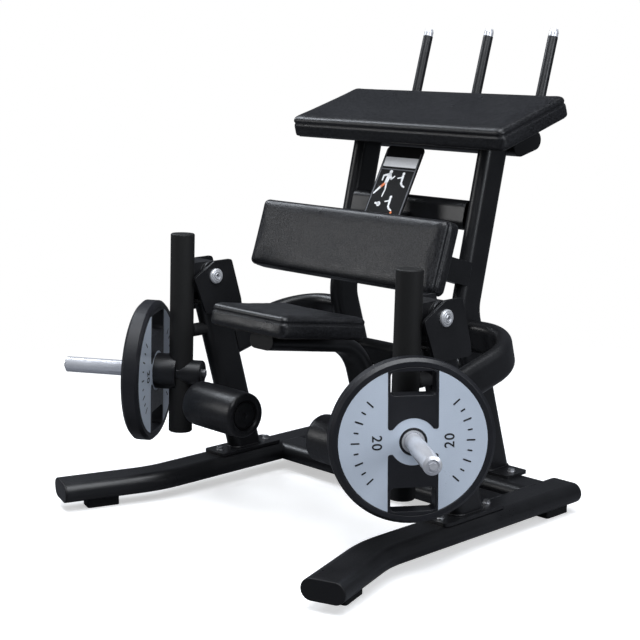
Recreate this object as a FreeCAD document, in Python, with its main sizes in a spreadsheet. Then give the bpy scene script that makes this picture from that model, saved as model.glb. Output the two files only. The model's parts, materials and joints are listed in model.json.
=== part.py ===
import FreeCAD, Part
import math
import os

import Sketcher
from FreeCAD import Placement, Rotation, Vector

# Plate-loaded kneeling leg curl machine.  Millimetres, +Z up, +X to the machine's right.
# The user kneels facing +Y.  The frame is symmetric about X = 0.
# Stations along the machine are measured from the top of the lever tubes; origin_station is the
# station of the frame's origin, which is the bottom centre of the whole machine's box.

DIMENSIONS = {
    # frame
    "origin_station": 230.68,
    "half_track": 488,
    "tube_wall": 3,
    # base runners and the two bars across them
    "runner_tall": 62,
    "runner_wide": 130,
    "runner_level": 61,
    "runner_rear": 711,
    "runner_first_run": 781,
    "runner_turn": 19,
    "runner_bend": 350,
    "runner_last_run": 244,
    "front_bar_station": 424,
    "rear_bar_station": 620,
    "end_cap_thick": 7,
    "end_cap_edge": 3,
    "foot_length": 102,
    "foot_width": 58,
    "foot_tall": 30,
    "foot_corner": 8,
    "front_foot_station": -298,
    "rear_foot_station": 648,
    # front posts, leaning back to the lever pivots
    "post_across": 60,
    "post_depth": 122,
    "post_foot_station": 245,
    "post_slope": 0.266,
    "post_top": 605,
    # bolted foot plates
    "flange_thick": 10,
    "flange_corner": 14,
    "front_flange_width": 96,
    "front_flange_length": 260,
    "front_flange_station": 241,
    "front_bolt_pitch": 203,
    "rear_flange_width": 196,
    "rear_flange_length": 100,
    "rear_bolt_pitch": 144,
    "bolt_drill_start": 15,
    "bolt_shank": 6,
    "bolt_grip": 14,
    "bolt_hole": 6.6,
    "bolt_head": 10.5,
    "bolt_head_tall": 7.5,
    "washer_radius": 12.5,
    "washer_thick": 2.5,
    # rear posts with a knee
    "mast_track": 264,
    "mast_across": 50,
    "mast_depth": 106,
    "mast_knee_station": 486,
    "mast_knee_level": 625,
    "mast_lower_slope": 0.2983,
    "mast_upper_slope": 0.2427,
    "mast_bend": 160,
    "mast_top": 1240,
    "mast_foot_level": 60,
    # side hoops that tie front posts to rear posts
    "hoop_across": 50,
    "hoop_tall": 104,
    "hoop_level": 466,
    "hoop_start": 200,
    "hoop_slope": 0.27,
    "hoop_first_run": 166,
    "hoop_bend": 150,
    "hoop_last_run": 70,
    # centre tube under the knee pad
    "spine_across": 50,
    "spine_wide": 100,
    "spine_start": -100,
    "spine_start_level": 578,
    "spine_slope": 0.165,
    "spine_first_run": 289.5,
    "spine_turn": 64.5,
    "spine_bend": 146,
    "spine_last_run": 385,
    "mount_width": 46,
    "mount_length": 60,
    "mount_tall": 24,
    "mount_front": 90,
    "mount_rear": 220,
    "brace_tall": 90,
    "brace_level": 420,
    # cushions
    "board_thick": 12,
    "pad_corner": 18,
    "pad_edge": 16,
    "board_margin": 12,
    "board_corner": 10,
    "knee_front_half": 163,
    "knee_back_half": 186,
    "knee_front": -161,
    "knee_front_level": 681,
    "knee_length": 321,
    "knee_thick": 67,
    "knee_tilt": 8.0,
    "thigh_half": 394,
    "thigh_tall": 221,
    "thigh_thick": 68,
    "thigh_front": 182.6,
    "thigh_level": 731,
    "thigh_tilt": 18.8,
    "top_half": 446,
    "top_deep": 325,
    "top_thick": 70,
    "top_front": 416,
    "top_level": 1184,
    "top_tilt": 16.6,
    # pad carriers
    "stub_width": 50,
    "stub_tall": 72,
    "stub_station": 435,
    "stub_level": 755,
    "stub_slope": 0.30,
    "stub_back_reach": 60,
    "stub_lead": 10,
    "stub_plate_width": 150,
    "stub_plate_tall": 130,
    "carrier_plate": 6,
    "carrier_corner": 10,
    "head_flange_width": 216,
    "head_flange_length": 120,
    "head_bolt_pitch": 176,
    "cross_across": 50,
    "cross_tall": 91,
    "cross_level": 911,
    "rack_across": 60,
    "rack_deep": 130,
    "rack_half": 300,
    "rack_station": 722,
    "rack_level": 1122,
    "peg_radius": 16,
    "peg_track": 262,
    "peg_slope": 0.295,
    "peg_station": 794,
    "peg_level": 1134,
    "peg_length": 322,
    "peg_foot": 44,
    "groove_width": 2,
    "groove_depth": 1,
    "peg_cap_tall": 24,
    "peg_cap_step": 1,
    "peg_cap_taper": 3,
    # chart plate
    "chart_half": 78,
    "chart_tall": 258,
    "chart_thick": 4,
    "chart_tilt": 28.7,
    "chart_top_station": 505,
    "chart_top_level": 1107,
    "chart_corner": 16,
    "backing_margin": 25,
    "backing_half_tall": 26,
    "backing_thick": 5,
    "backing_corner": 6,
    "chart_arm_width": 44,
    "chart_arm_thick": 8,
    "chart_arm_overlap": 20,
    # lever pivot
    "pivot_station": 87,
    "pivot_level": 696,
    "cheek_gap": 44,
    "cheek_thick": 10,
    "cheek_corner": 12,
    "saddle_start": 62,
    "saddle_length": 118,
    "saddle_tall": 30,
    "saddle_drop": 22,
    "pivot_shaft": 12.5,
    "pivot_shaft_half": 54,
    "pivot_disc": 24,
    "pivot_disc_thick": 9,
    "disc_edge": 3,
    "socket_radius": 6,
    "socket_depth": 6,
    "hub_radius": 47,
    "hub_half": 42,
    "bearing_outer": 26,
    "bearing_width": 15,
    "running_gap": 0.06,
    "thrust_outer": 20,
    "thrust_play": 0.3,
    "web_width": 60,
    "web_half_tall": 46,
    # lever tube
    "lever_radius": 38,
    "lever_top_level": 830,
    "lever_bottom_station": -24,
    "lever_bottom_level": 203,
    "lever_cap_thick": 5,
    "bumper_level": 520,
    "bumper_radius": 21,
    "bumper_gap": 1.2,
    "bumper_edge": 4,
    "bumper_length": 80,
    # weight horn
    "horn_level": 390,
    "horn_station": -16,
    "horn_swing": 36.1,
    "horn_rise": 1.7,
    "horn_radius": 25,
    "horn_root": 45,
    "horn_end": 375,
    "horn_cap": 14,
    "horn_cap_band": 5,
    "horn_cap_taper": 8,
    "horn_cap_lip": 4,
    "horn_cap_floor": 7,
    "horn_screw": 10.5,
    "back_screw": 13,
    "back_screw_tall": 9,
    "hub_edge": 4,
    "hub_outer": 57,
    "hub_inner": 41,
    "hub_step": 6,
    "hub_face": 79,
    "hub_back": -72,
    # weight plate
    "plate_radius": 225,
    "plate_thick": 54,
    "plate_face_radius": 202,
    "plate_recess": 2,
    "plate_edge": 9,
    "sleeve_bore": 25.6,
    "sleeve_outer": 31,
    "window_half_width": 61,
    "window_low": 125,
    "window_high": 190,
    "window_corner": 12,
    # calf rollers
    "roller_level": 307,
    "roller_station": -21,
    "roller_radius": 70,
    "roller_inner_end": 165,
    "roller_outer_end": 398,
    "roller_dish": 10,
    "roller_edge": 7,
    "axle_radius": 12.5,
    "sleeve_wall": 4,
    "roller_disc": 46,
    "roller_disc_thick": 5,
    "axle_tip": 173,
    "keeper_flange": 7,
    "keeper_thick": 3,
    "keeper_edge": 1,
}

doc = FreeCAD.newDocument("KneelingLegCurl")
sheet = doc.addObject("Spreadsheet::Sheet", "Dimensions")
for row, (alias, number) in enumerate(DIMENSIONS.items(), start=1):
    sheet.set("A%d" % row, alias)
    sheet.set("B%d" % row, str(number))
    sheet.setAlias("B%d" % row, alias)
doc.recompute()


class Size:
    """A length that carries both its number and its expression in the spreadsheet."""

    def __init__(self, number, text):
        self.number = float(number)
        self.text = text

    def __float__(self):
        return self.number

    def __add__(self, other):
        other = as_size(other)
        return Size(self.number + other.number, "(%s + %s)" % (self.text, other.text))

    def __sub__(self, other):
        other = as_size(other)
        return Size(self.number - other.number, "(%s - %s)" % (self.text, other.text))

    def __mul__(self, other):
        other = as_size(other)
        return Size(self.number * other.number, "(%s * %s)" % (self.text, other.text))

    def __truediv__(self, other):
        other = as_size(other)
        return Size(self.number / other.number, "(%s / %s)" % (self.text, other.text))

    def __neg__(self):
        return Size(-self.number, "(0 - %s)" % self.text)


def as_size(value):
    if isinstance(value, Size):
        return value
    return Size(value, repr(float(value)))


class Sizes:
    """Reads the spreadsheet's cells by alias."""

    def __getattr__(self, alias):
        return Size(sheet.get(alias), "Dimensions." + alias)


D = Sizes()
NODES = []
MIRROR = (("left", -1), ("right", 1))


# ---------------------------------------------------------------- places

def point(x, station, level):
    """A point from its distance right of centre, its station and its height."""
    return Vector(float(x), float(station) - float(D.origin_station), float(level))


def aim(origin, along, across):
    """A placement whose local Z runs along one direction and whose local X lies near another."""
    z_axis = Vector(along).normalize()
    y_axis = z_axis.cross(Vector(across)).normalize()
    x_axis = y_axis.cross(z_axis)
    return Placement(origin, Rotation(x_axis, y_axis, z_axis, "ZXY"))


def slope_up(slope):
    """Unit direction that rises while it runs towards +Y by slope for each unit of height."""
    return Vector(0, float(slope), 1).normalize()


def slope_back(slope):
    """Unit direction that runs towards +Y while it rises by slope for each unit of run."""
    return Vector(0, 1, float(slope)).normalize()


def tilted(degrees):
    """Unit directions along and square to a face that is tilted back from the vertical."""
    angle = math.radians(float(degrees))
    up = Vector(0, math.sin(angle), math.cos(angle))
    back = Vector(0, math.cos(angle), -math.sin(angle))
    return up, back


# ---------------------------------------------------------------- sketches

def bind(item, prop, size):
    """Set a property's number and tie it to the spreadsheet."""
    size = as_size(size)
    setattr(item, prop, size.number)
    item.setExpression(prop, size.text)


def new_body(label):
    item = doc.addObject("PartDesign::Body", label)
    item.Label = label
    return item


def new_sketch(item, role):
    sketch = item.newObject("Sketcher::SketchObject", "Sketch")
    plane = next(f for f in item.Origin.OriginFeatures if f.Role == role)
    sketch.AttachmentSupport = [(plane, "")]
    sketch.MapMode = "FlatFace"
    return sketch


def constrain(sketch, size, kind, *parts):
    """Add a dimension to a sketch and tie it to the spreadsheet."""
    size = as_size(size)
    value = math.radians(size.number) if kind == "Angle" else size.number
    index = sketch.addConstraint(Sketcher.Constraint(kind, *parts, value))
    text = "(%s) * 1 deg" % size.text if kind == "Angle" else size.text
    sketch.setExpression("Constraints[%d]" % index, text)


def relate(sketch, *relations):
    for relation in relations:
        sketch.addConstraint(Sketcher.Constraint(*relation))


def draw_oval(sketch, across, long, long_axis="y"):
    """A flat oval about the sketch's origin: two flats joined by two half circles."""
    radius = across / 2
    spread = long - across
    reach = float(spread) / 2
    r = float(radius)
    turn = 0 if long_axis == "y" else -math.pi / 2
    spin = Rotation(Vector(0, 0, 1), math.degrees(turn))
    normal = Vector(0, 0, 1)
    first = sketch.GeometryCount
    sketch.addGeometry([
        Part.LineSegment(spin.multVec(Vector(r, -reach, 0)), spin.multVec(Vector(r, reach, 0))),
        Part.ArcOfCircle(Part.Circle(spin.multVec(Vector(0, reach, 0)), normal, r),
                         turn, turn + math.pi),
        Part.LineSegment(spin.multVec(Vector(-r, reach, 0)), spin.multVec(Vector(-r, -reach, 0))),
        Part.ArcOfCircle(Part.Circle(spin.multVec(Vector(0, -reach, 0)), normal, r),
                         turn + math.pi, turn + 2 * math.pi),
    ])
    axis = -2 if long_axis == "y" else -1
    relate(sketch,
           ("Tangent", first, 2, first + 1, 1),
           ("Tangent", first + 1, 2, first + 2, 1),
           ("Tangent", first + 2, 2, first + 3, 1),
           ("Tangent", first + 3, 2, first, 1),
           ("PointOnObject", first + 1, 3, axis),
           ("Symmetric", first + 1, 3, first + 3, 3, -1, 1))
    constrain(sketch, radius, "Radius", first + 1)
    kind = "DistanceY" if long_axis == "y" else "DistanceX"
    constrain(sketch, spread, kind, first + 3, 3, first + 1, 3)


def draw_outline(sketch, corners):
    """A closed outline of straight lines through corners given as pairs of sizes."""
    first = sketch.GeometryCount
    spots = [Vector(float(x), float(y), 0) for x, y in corners]
    count = len(spots)
    for index in range(count):
        sketch.addGeometry(Part.LineSegment(spots[index], spots[(index + 1) % count]))
    for index in range(count):
        relate(sketch, ("Coincident", first + index, 2, first + (index + 1) % count, 1))
    for index, (x, y) in enumerate(corners):
        constrain(sketch, x, "DistanceX", -1, 1, first + index, 1)
        constrain(sketch, y, "DistanceY", -1, 1, first + index, 1)


def add_pad(item, sketch, length):
    pad = item.newObject("PartDesign::Pad", "Pad")
    pad.Profile = sketch
    bind(pad, "Length", length)
    return pad


def round_edges(item, base, radius, chosen):
    """Fillet the edges of a feature that the chosen test picks."""
    doc.recompute()
    names = ["Edge%d" % (i + 1) for i, edge in enumerate(base.Shape.Edges) if chosen(edge)]
    fillet = item.newObject("PartDesign::Fillet", "Fillet")
    fillet.Base = (base, names)
    bind(fillet, "Radius", radius)
    return fillet


def upright_edge(edge):
    """True for a straight edge along local Z."""
    if edge.Curve.TypeId != "Part::GeomLine":
        return False
    return abs(edge.Curve.Direction.z) > 0.999


# ---------------------------------------------------------------- kinds of piece

def oval_tube(label, across, long, length, place, long_axis="y", wall=None):
    """A straight flat-oval bar along local Z, hollow when it has a wall."""
    item = new_body(label)
    sketch = new_sketch(item, "XY_Plane")
    draw_oval(sketch, across, long, long_axis)
    if wall is not None:
        draw_oval(sketch, across - wall * 2, long - wall * 2, long_axis)
    add_pad(item, sketch, length)
    item.Placement = place
    return item


def leaning_tube(label, across, long, height, slope, place, wall=None):
    """A flat-oval post with level ends that leans towards -Y by slope per unit of height."""
    item = new_body(label)
    sketch = new_sketch(item, "XY_Plane")
    draw_oval(sketch, across, long)
    if wall is not None:
        draw_oval(sketch, across - wall * 2, long - wall * 2)
    pad = add_pad(item, sketch, height)
    pad.UseCustomVector = True
    pad.Direction = Vector(0, -float(slope), 1)
    pad.AlongSketchNormal = True
    item.Placement = place
    return item


def bent_tube(label, across, long, runs, turn, bend, place, long_axis="y", wall=None):
    """A flat-oval tube that runs along local Z, bends towards local X and runs on."""
    first_run, last_run = runs
    item = new_body(label)
    profile = new_sketch(item, "XY_Plane")
    draw_oval(profile, across, long, long_axis)
    if wall is not None:
        draw_oval(profile, across - wall * 2, long - wall * 2, long_axis)
    path = new_sketch(item, "XZ_Plane")
    angle = math.radians(float(turn))
    radius = float(bend)
    start = Vector(0, float(first_run), 0)
    centre = start + Vector(radius, 0, 0)
    finish = centre + Vector(-math.cos(angle), math.sin(angle), 0) * radius
    tip = finish + Vector(math.sin(angle), math.cos(angle), 0) * float(last_run)
    path.addGeometry([
        Part.LineSegment(Vector(0, 0, 0), start),
        Part.ArcOfCircle(Part.Circle(centre, Vector(0, 0, 1), radius), math.pi - angle, math.pi),
        Part.LineSegment(finish, tip),
    ])
    relate(path,
           ("Coincident", 0, 1, -1, 1),
           ("Vertical", 0),
           ("Tangent", 0, 2, 1, 2),
           ("Tangent", 1, 1, 2, 1))
    constrain(path, first_run, "DistanceY", 0, 1, 0, 2)
    constrain(path, bend, "Radius", 1)
    constrain(path, last_run, "Distance", 2, 1, 2, 2)
    constrain(path, as_size(90) - turn, "Angle", 2)
    doc.recompute()
    sweep = item.newObject("PartDesign::AdditivePipe", "Sweep")
    sweep.Profile = profile
    sweep.Spine = (path, ["Edge1", "Edge2", "Edge3"])
    item.Placement = place
    return item


def turned(label, profile, place):
    """A solid of revolution about local Z from a closed profile of radius and height pairs."""
    item = new_body(label)
    sketch = new_sketch(item, "XZ_Plane")
    draw_outline(sketch, profile)
    spin = item.newObject("PartDesign::Revolution", "Revolution")
    spin.Profile = sketch
    spin.ReferenceAxis = (sketch, ["V_Axis"])
    spin.Angle = 360
    item.Placement = place
    return item


def disc(label, radius, thick, place):
    return turned(label, [(0, 0), (radius, 0), (radius, thick), (0, thick)], place)


def grooved_bar(label, radius, start, groove, finish, place):
    """A round bar with one narrow groove that marks where its free length begins."""
    waist = radius - D.groove_depth
    return turned(label, [(0, start), (radius, start), (radius, groove), (waist, groove),
                          (waist, groove + D.groove_width), (radius, groove + D.groove_width),
                          (radius, finish), (0, finish)], place)


def ring(label, bore, radius, thick, place):
    return turned(label, [(bore, 0), (radius, 0), (radius, thick), (bore, thick)], place)


def slab(label, corners, thick, place, corner=None, holes=()):
    """A flat plate with a straight-sided outline, rounded corners and round holes."""
    item = new_body(label)
    sketch = new_sketch(item, "XY_Plane")
    draw_outline(sketch, corners)
    pad = add_pad(item, sketch, thick)
    if corner is not None:
        round_edges(item, pad, corner, upright_edge)
    item.Placement = place
    if not holes:
        return item
    drills = []
    for index, (x, y, radius) in enumerate(holes):
        drill = doc.addObject("Part::Cylinder", "%s_drill%d" % (label, index))
        bind(drill, "Radius", radius)
        bind(drill, "Height", thick * 3)
        drill.Placement = place * Placement(Vector(float(x), float(y), -float(thick)), Rotation())
        drills.append(drill)
    return cut(label + "_drilled", item, drills)


def standing(half, tall, margin=0):
    """Corners of a rectangle that stands on local Y = 0, drawn in all round by a margin."""
    margin = as_size(margin)
    return [(margin - half, margin), (half - margin, margin),
            (half - margin, tall - margin), (margin - half, tall - margin)]


def centred(half_x, half_y):
    """Corners of a rectangle about the origin."""
    return [(-half_x, -half_y), (half_x, -half_y), (half_x, half_y), (-half_x, half_y)]


def cut(label, base, tools):
    """Take the tools away from the base."""
    if len(tools) > 1:
        tool = doc.addObject("Part::MultiFuse", label + "_tools")
        tool.Shapes = tools
    else:
        tool = tools[0]
    result = doc.addObject("Part::Cut", label)
    result.Base = base
    result.Tool = tool
    return result


def join(label, pieces):
    result = doc.addObject("Part::MultiFuse", label)
    result.Shapes = pieces
    return result


def group(label, pieces):
    result = doc.addObject("Part::Compound", label)
    result.Links = pieces
    return result


def node(name, item):
    """Give a finished sub-part its name and put it on the list that is written out."""
    item.Label = name
    NODES.append(item)
    return item


def hex_bolt(label, base, upward, shank_length):
    """A hexagon screw with its washer, seated at base and pointing down from it."""
    place = aim(base, upward, Vector(1, 0, 0.01))
    washer = doc.addObject("Part::Cylinder", label + "_washer")
    bind(washer, "Radius", D.washer_radius)
    bind(washer, "Height", D.washer_thick)
    washer.Placement = place
    head = doc.addObject("Part::Prism", label + "_head")
    head.Polygon = 6
    bind(head, "Circumradius", D.bolt_head)
    bind(head, "Height", D.bolt_head_tall)
    head.Placement = place * Placement(Vector(0, 0, float(D.washer_thick)), Rotation())
    shank = doc.addObject("Part::Cylinder", label + "_shank")
    bind(shank, "Radius", D.bolt_shank)
    bind(shank, "Height", shank_length + D.washer_thick)
    shank.Placement = place * Placement(Vector(0, 0, -float(shank_length)), Rotation())
    return join(label, [washer, head, shank])


# ---------------------------------------------------------------- shared directions and outlines

UP = Vector(0, 0, 1)
RIGHT = Vector(1, 0, 0)
TOUCH = 0.01  # how close an edge's middle must be to a face to count as on it
TRIM = 400  # size of the blocks that cut pieces back to a plane
FIT = 200  # length of the solid copies of a bar that pieces are fitted to
MAST_LOWER = Vector(0, -float(D.mast_lower_slope), 1).normalize()
MAST_UPPER = slope_up(D.mast_upper_slope)
POST_FOOT_LEVEL = D.runner_level + D.runner_tall / 2 + D.flange_thick
FLANGE_LEVEL = D.runner_level + D.runner_tall / 2
DRILL_LEVEL = D.runner_level + D.bolt_drill_start


def mast_station(level):
    """Station of a rear post's centreline at a height above its knee."""
    rise = float(level) - float(D.mast_knee_level)
    return float(D.mast_knee_station) + float(D.mast_upper_slope) * rise


def lever_station(level):
    """Station of a lever tube's centreline at a height."""
    drop = float(D.lever_top_level) - float(level)
    tall = float(D.lever_top_level) - float(D.lever_bottom_level)
    return float(D.lever_bottom_station) * drop / tall


def runner_toe(distance):
    """Point on a runner's toed-out front stretch at a station, for the right side."""
    angle = math.radians(float(D.runner_turn))
    apex = float(D.runner_rear) - float(D.runner_first_run)
    apex -= float(D.runner_bend) * math.tan(angle / 2)
    return float(D.half_track) + (apex - float(distance)) * math.tan(angle)


def mast_envelope(label, side):
    """A solid rear post, used to fit the pieces that meet it."""
    return mast_stock(label, side, None)


def mast_stock(label, side, wall):
    turn = math.degrees(math.atan(float(D.mast_lower_slope)) + math.atan(float(D.mast_upper_slope)))
    half_turn = math.radians(turn / 2)
    tangent = float(D.mast_bend) * math.tan(half_turn)
    knee = point(side * D.mast_track.number, D.mast_knee_station, D.mast_knee_level)
    lower = float(D.mast_knee_level - D.mast_foot_level) / MAST_LOWER.z
    upper = (float(D.mast_top) - float(D.mast_knee_level)) / MAST_UPPER.z
    place = aim(knee - MAST_LOWER * lower, MAST_LOWER, Vector(0, 1, 0))
    return bent_tube(label, D.mast_across, D.mast_depth, (lower - tangent, upper - tangent),
                     turn, D.mast_bend, place, "x", wall)


# ---------------------------------------------------------------- base

def build_base():
    """Runners with feet, and the two bars across.  Returns the runners' end caps."""
    caps = []
    feet = []
    envelopes = []
    angle = math.radians(float(D.runner_turn))
    for name, side in MIRROR:
        rear = point(side * D.half_track.number, D.runner_rear, D.runner_level)
        place = aim(rear, Vector(0, -1, 0), Vector(side, 0, 0))
        stock = bent_tube("runner_stock_" + name, D.runner_tall, D.runner_wide,
                          (D.runner_first_run, D.runner_last_run), D.runner_turn, D.runner_bend,
                          place, "x", D.tube_wall)
        drills = []
        for offset in (-0.5, 0.5):
            station = D.front_flange_station + D.front_bolt_pitch * offset
            drill = doc.addObject("Part::Cylinder", "runner_drill_" + name)
            bind(drill, "Radius", D.bolt_hole)
            bind(drill, "Height", D.runner_tall / 2)
            drill.Placement = Placement(point(side * D.half_track.number, station, DRILL_LEVEL), Rotation())
            drills.append(drill)
        node("runner_" + name, cut("runner_%s_cut" % name, stock, drills))

        toe_dir = Vector(side * math.sin(angle), -math.cos(angle), 0)
        tangent = float(D.runner_bend) * math.tan(angle / 2)
        apex = rear + Vector(0, -1, 0) * (float(D.runner_first_run) + tangent)
        toe = apex + toe_dir * (float(D.runner_last_run) + tangent)
        for end, (spot, heading) in enumerate(((toe, toe_dir), (rear, Vector(0, 1, 0)))):
            cap = oval_tube("runner_cap_%s_%d" % (name, end), D.runner_tall, D.runner_wide,
                            D.end_cap_thick, aim(spot, heading, Vector(side, 0.3, 0)), "x")
            rim = cap.Tip
            round_edges(cap, rim, D.end_cap_edge,
                        lambda edge: edge.CenterOfMass.z > D.end_cap_thick.number - TOUCH)
            caps.append(cap)

        foot_x = runner_toe(D.front_foot_station)
        spots = [(point(side * foot_x, D.front_foot_station, 0), toe_dir),
                 (point(side * D.half_track.number, D.rear_foot_station, 0), Vector(0, 1, 0))]
        for end, (spot, heading) in enumerate(spots):
            foot = slab("foot_%s_%d" % (name, end), centred(D.foot_length / 2, D.foot_width / 2),
                        D.foot_tall, aim(spot, UP, heading), D.foot_corner)
            feet.append(foot)

        middle = point(side * D.half_track.number, D.runner_rear, D.runner_level)
        envelopes.append(oval_tube("runner_envelope_" + name, D.runner_tall, D.runner_wide, TRIM,
                                   aim(middle, Vector(0, -1, 0), RIGHT), "x"))
    node("rubber_feet", group("feet", feet))

    for name, station in (("front_crossbar", D.front_bar_station), ("rear_crossbar", D.rear_bar_station)):
        start = point(-D.half_track, station, D.runner_level)
        bar = oval_tube(name + "_stock", D.runner_tall, D.runner_wide, D.half_track * 2,
                        aim(start, RIGHT, Vector(0, 1, 0)), "x", D.tube_wall)
        drills = list(envelopes)
        if name == "rear_crossbar":
            for _, side in MIRROR:
                for offset in (-0.5, 0.5):
                    x = side * D.mast_track.number + offset * D.rear_bolt_pitch.number
                    drill = doc.addObject("Part::Cylinder", "bar_drill")
                    bind(drill, "Radius", D.bolt_hole)
                    bind(drill, "Height", D.runner_tall / 2)
                    drill.Placement = Placement(point(x, flange_station(), DRILL_LEVEL), Rotation())
                    drills.append(drill)
        node(name, cut(name + "_cut", bar, drills))
    return caps


def flange_station():
    """Station of a rear post's centreline at its foot."""
    drop = float(D.mast_knee_level) - float(POST_FOOT_LEVEL)
    return float(D.mast_knee_station) + float(D.mast_lower_slope) * drop


# ---------------------------------------------------------------- posts

def post_stock(label, side, wall=None):
    place = Placement(point(side * D.half_track.number, D.post_foot_station, POST_FOOT_LEVEL), Rotation())
    return leaning_tube(label, D.post_across, D.post_depth, D.post_top - POST_FOOT_LEVEL,
                        D.post_slope, place, wall)


def build_posts():
    """Front posts, rear posts, their foot plates and bolts, and the hoops between them."""
    front_flanges = []
    rear_flanges = []
    bolts = []
    for name, side in MIRROR:
        node("front_post_" + name, post_stock("front_post_stock_" + name, side, D.tube_wall))
        half_pitch = D.front_bolt_pitch / 2
        spot = point(side * D.half_track.number, D.front_flange_station, FLANGE_LEVEL)
        front_flanges.append(slab("front_flange_" + name,
                                  centred(D.front_flange_width / 2, D.front_flange_length / 2),
                                  D.flange_thick, Placement(spot, Rotation()), D.flange_corner,
                                  [(0, half_pitch, D.bolt_hole), (0, -half_pitch, D.bolt_hole)]))
        half_pitch = D.rear_bolt_pitch / 2
        spot = point(side * D.mast_track.number, flange_station(), FLANGE_LEVEL)
        rear_flanges.append(slab("rear_flange_" + name,
                                 centred(D.rear_flange_width / 2, D.rear_flange_length / 2),
                                 D.flange_thick, Placement(spot, Rotation()), D.flange_corner,
                                 [(half_pitch, 0, D.bolt_hole), (-half_pitch, 0, D.bolt_hole)]))
        for offset in (-0.5, 0.5):
            station = D.front_flange_station + D.front_bolt_pitch * offset
            x = side * D.mast_track.number + offset * D.rear_bolt_pitch.number
            seats = [point(side * D.half_track.number, station, POST_FOOT_LEVEL),
                     point(x, flange_station(), POST_FOOT_LEVEL)]
            for seat in seats:
                bolts.append(hex_bolt("flange_bolt_%d" % len(bolts), seat, UP,
                                      D.flange_thick + D.bolt_grip))

        stock = mast_stock("rear_post_stock_" + name, side, D.tube_wall)
        trim = doc.addObject("Part::Box", "rear_post_foot_trim_" + name)
        bind(trim, "Length", D.mast_depth)
        bind(trim, "Width", D.mast_depth * 4)
        bind(trim, "Height", POST_FOOT_LEVEL)
        corner = point(side * D.mast_track.number, flange_station(), 0)
        trim.Placement = Placement(corner - Vector(float(D.mast_depth) / 2, float(D.mast_depth) * 2, 0),
                                   Rotation())
        node("rear_post_" + name, cut("rear_post_cut_" + name, stock,
                                      [trim, beyond("head_trim_" + name, head_place(side))]))

        heading = slope_back(D.hoop_slope)
        start = point(side * D.half_track.number, D.hoop_start, D.hoop_level)
        hoop = bent_tube("hoop_stock_" + name, D.hoop_across, D.hoop_tall,
                         (D.hoop_first_run, D.hoop_last_run), as_size(90), D.hoop_bend,
                         aim(start, heading, Vector(-side, 0, 0)), "y", D.tube_wall)
        node("side_hoop_" + name, cut("hoop_cut_" + name, hoop,
                                      [post_stock("hoop_front_fit_" + name, side),
                                       mast_envelope("hoop_rear_fit_" + name, side)]))
    node("post_flanges", group("flanges", front_flanges + rear_flanges))
    node("flange_bolts", group("flange_bolt_set", bolts))


# ---------------------------------------------------------------- pads and what carries them

def top_pad_axes():
    """Directions up along the top pad and square out of its face."""
    angle = math.radians(float(D.top_tilt))
    return (Vector(0, math.cos(angle), math.sin(angle)), Vector(0, -math.sin(angle), math.cos(angle)))


def head_place(side):
    """Place of a head flange's underside centre, where a rear post meets the top pad."""
    run, square = top_pad_axes()
    below = point(side * D.mast_track.number, D.top_front, D.top_level)
    below -= square * (float(D.top_thick) + float(D.flange_thick))
    foot = point(side * D.mast_track.number, mast_station(D.mast_knee_level), D.mast_knee_level)
    reach = (below - foot).dot(square) / MAST_UPPER.dot(square)
    return aim(foot + MAST_UPPER * reach, square, RIGHT)


def beyond(label, place):
    """A block that fills the space on local Z's positive side of a place, used to trim to a plane."""
    box = doc.addObject("Part::Box", label)
    bind(box, "Length", as_size(TRIM))
    bind(box, "Width", as_size(TRIM))
    bind(box, "Height", as_size(TRIM))
    box.Placement = place * Placement(Vector(-TRIM / 2, -TRIM / 2, 0), Rotation())
    return box


def rect_tube(label, width, tall, length, place):
    """A rectangular tube along local Z."""
    item = new_body(label)
    sketch = new_sketch(item, "XY_Plane")
    draw_outline(sketch, centred(width / 2, tall / 2))
    draw_outline(sketch, centred(width / 2 - D.tube_wall, tall / 2 - D.tube_wall))
    add_pad(item, sketch, length)
    item.Placement = place
    return item


def cushion(name, corners, board_corners, thick, place):
    """A plain upholstered block, its board let into the back; local Z points out of the face."""
    board = slab(name + "_board", board_corners, D.board_thick, place, D.board_corner)
    block = new_body(name + "_block")
    sketch = new_sketch(block, "XY_Plane")
    draw_outline(sketch, corners)
    pad = add_pad(block, sketch, thick)
    soft = round_edges(block, pad, D.pad_corner, upright_edge)
    round_edges(block, soft, D.pad_edge, lambda edge: edge.CenterOfMass.z > thick.number - TOUCH)
    block.Placement = place
    node(name, cut(name + "_hollowed", block, [board]))
    return board


def knee_pad_place():
    """Place of the knee cushion: local Y runs back and down along it, local Z out of its top."""
    angle = math.radians(float(D.knee_tilt))
    run = Vector(0, math.cos(angle), -math.sin(angle))
    out = Vector(0, math.sin(angle), math.cos(angle))
    origin = point(0, D.knee_front, D.knee_front_level) - out * float(D.knee_thick)
    return Placement(origin, Rotation(RIGHT, run, out, "ZXY"))


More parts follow.
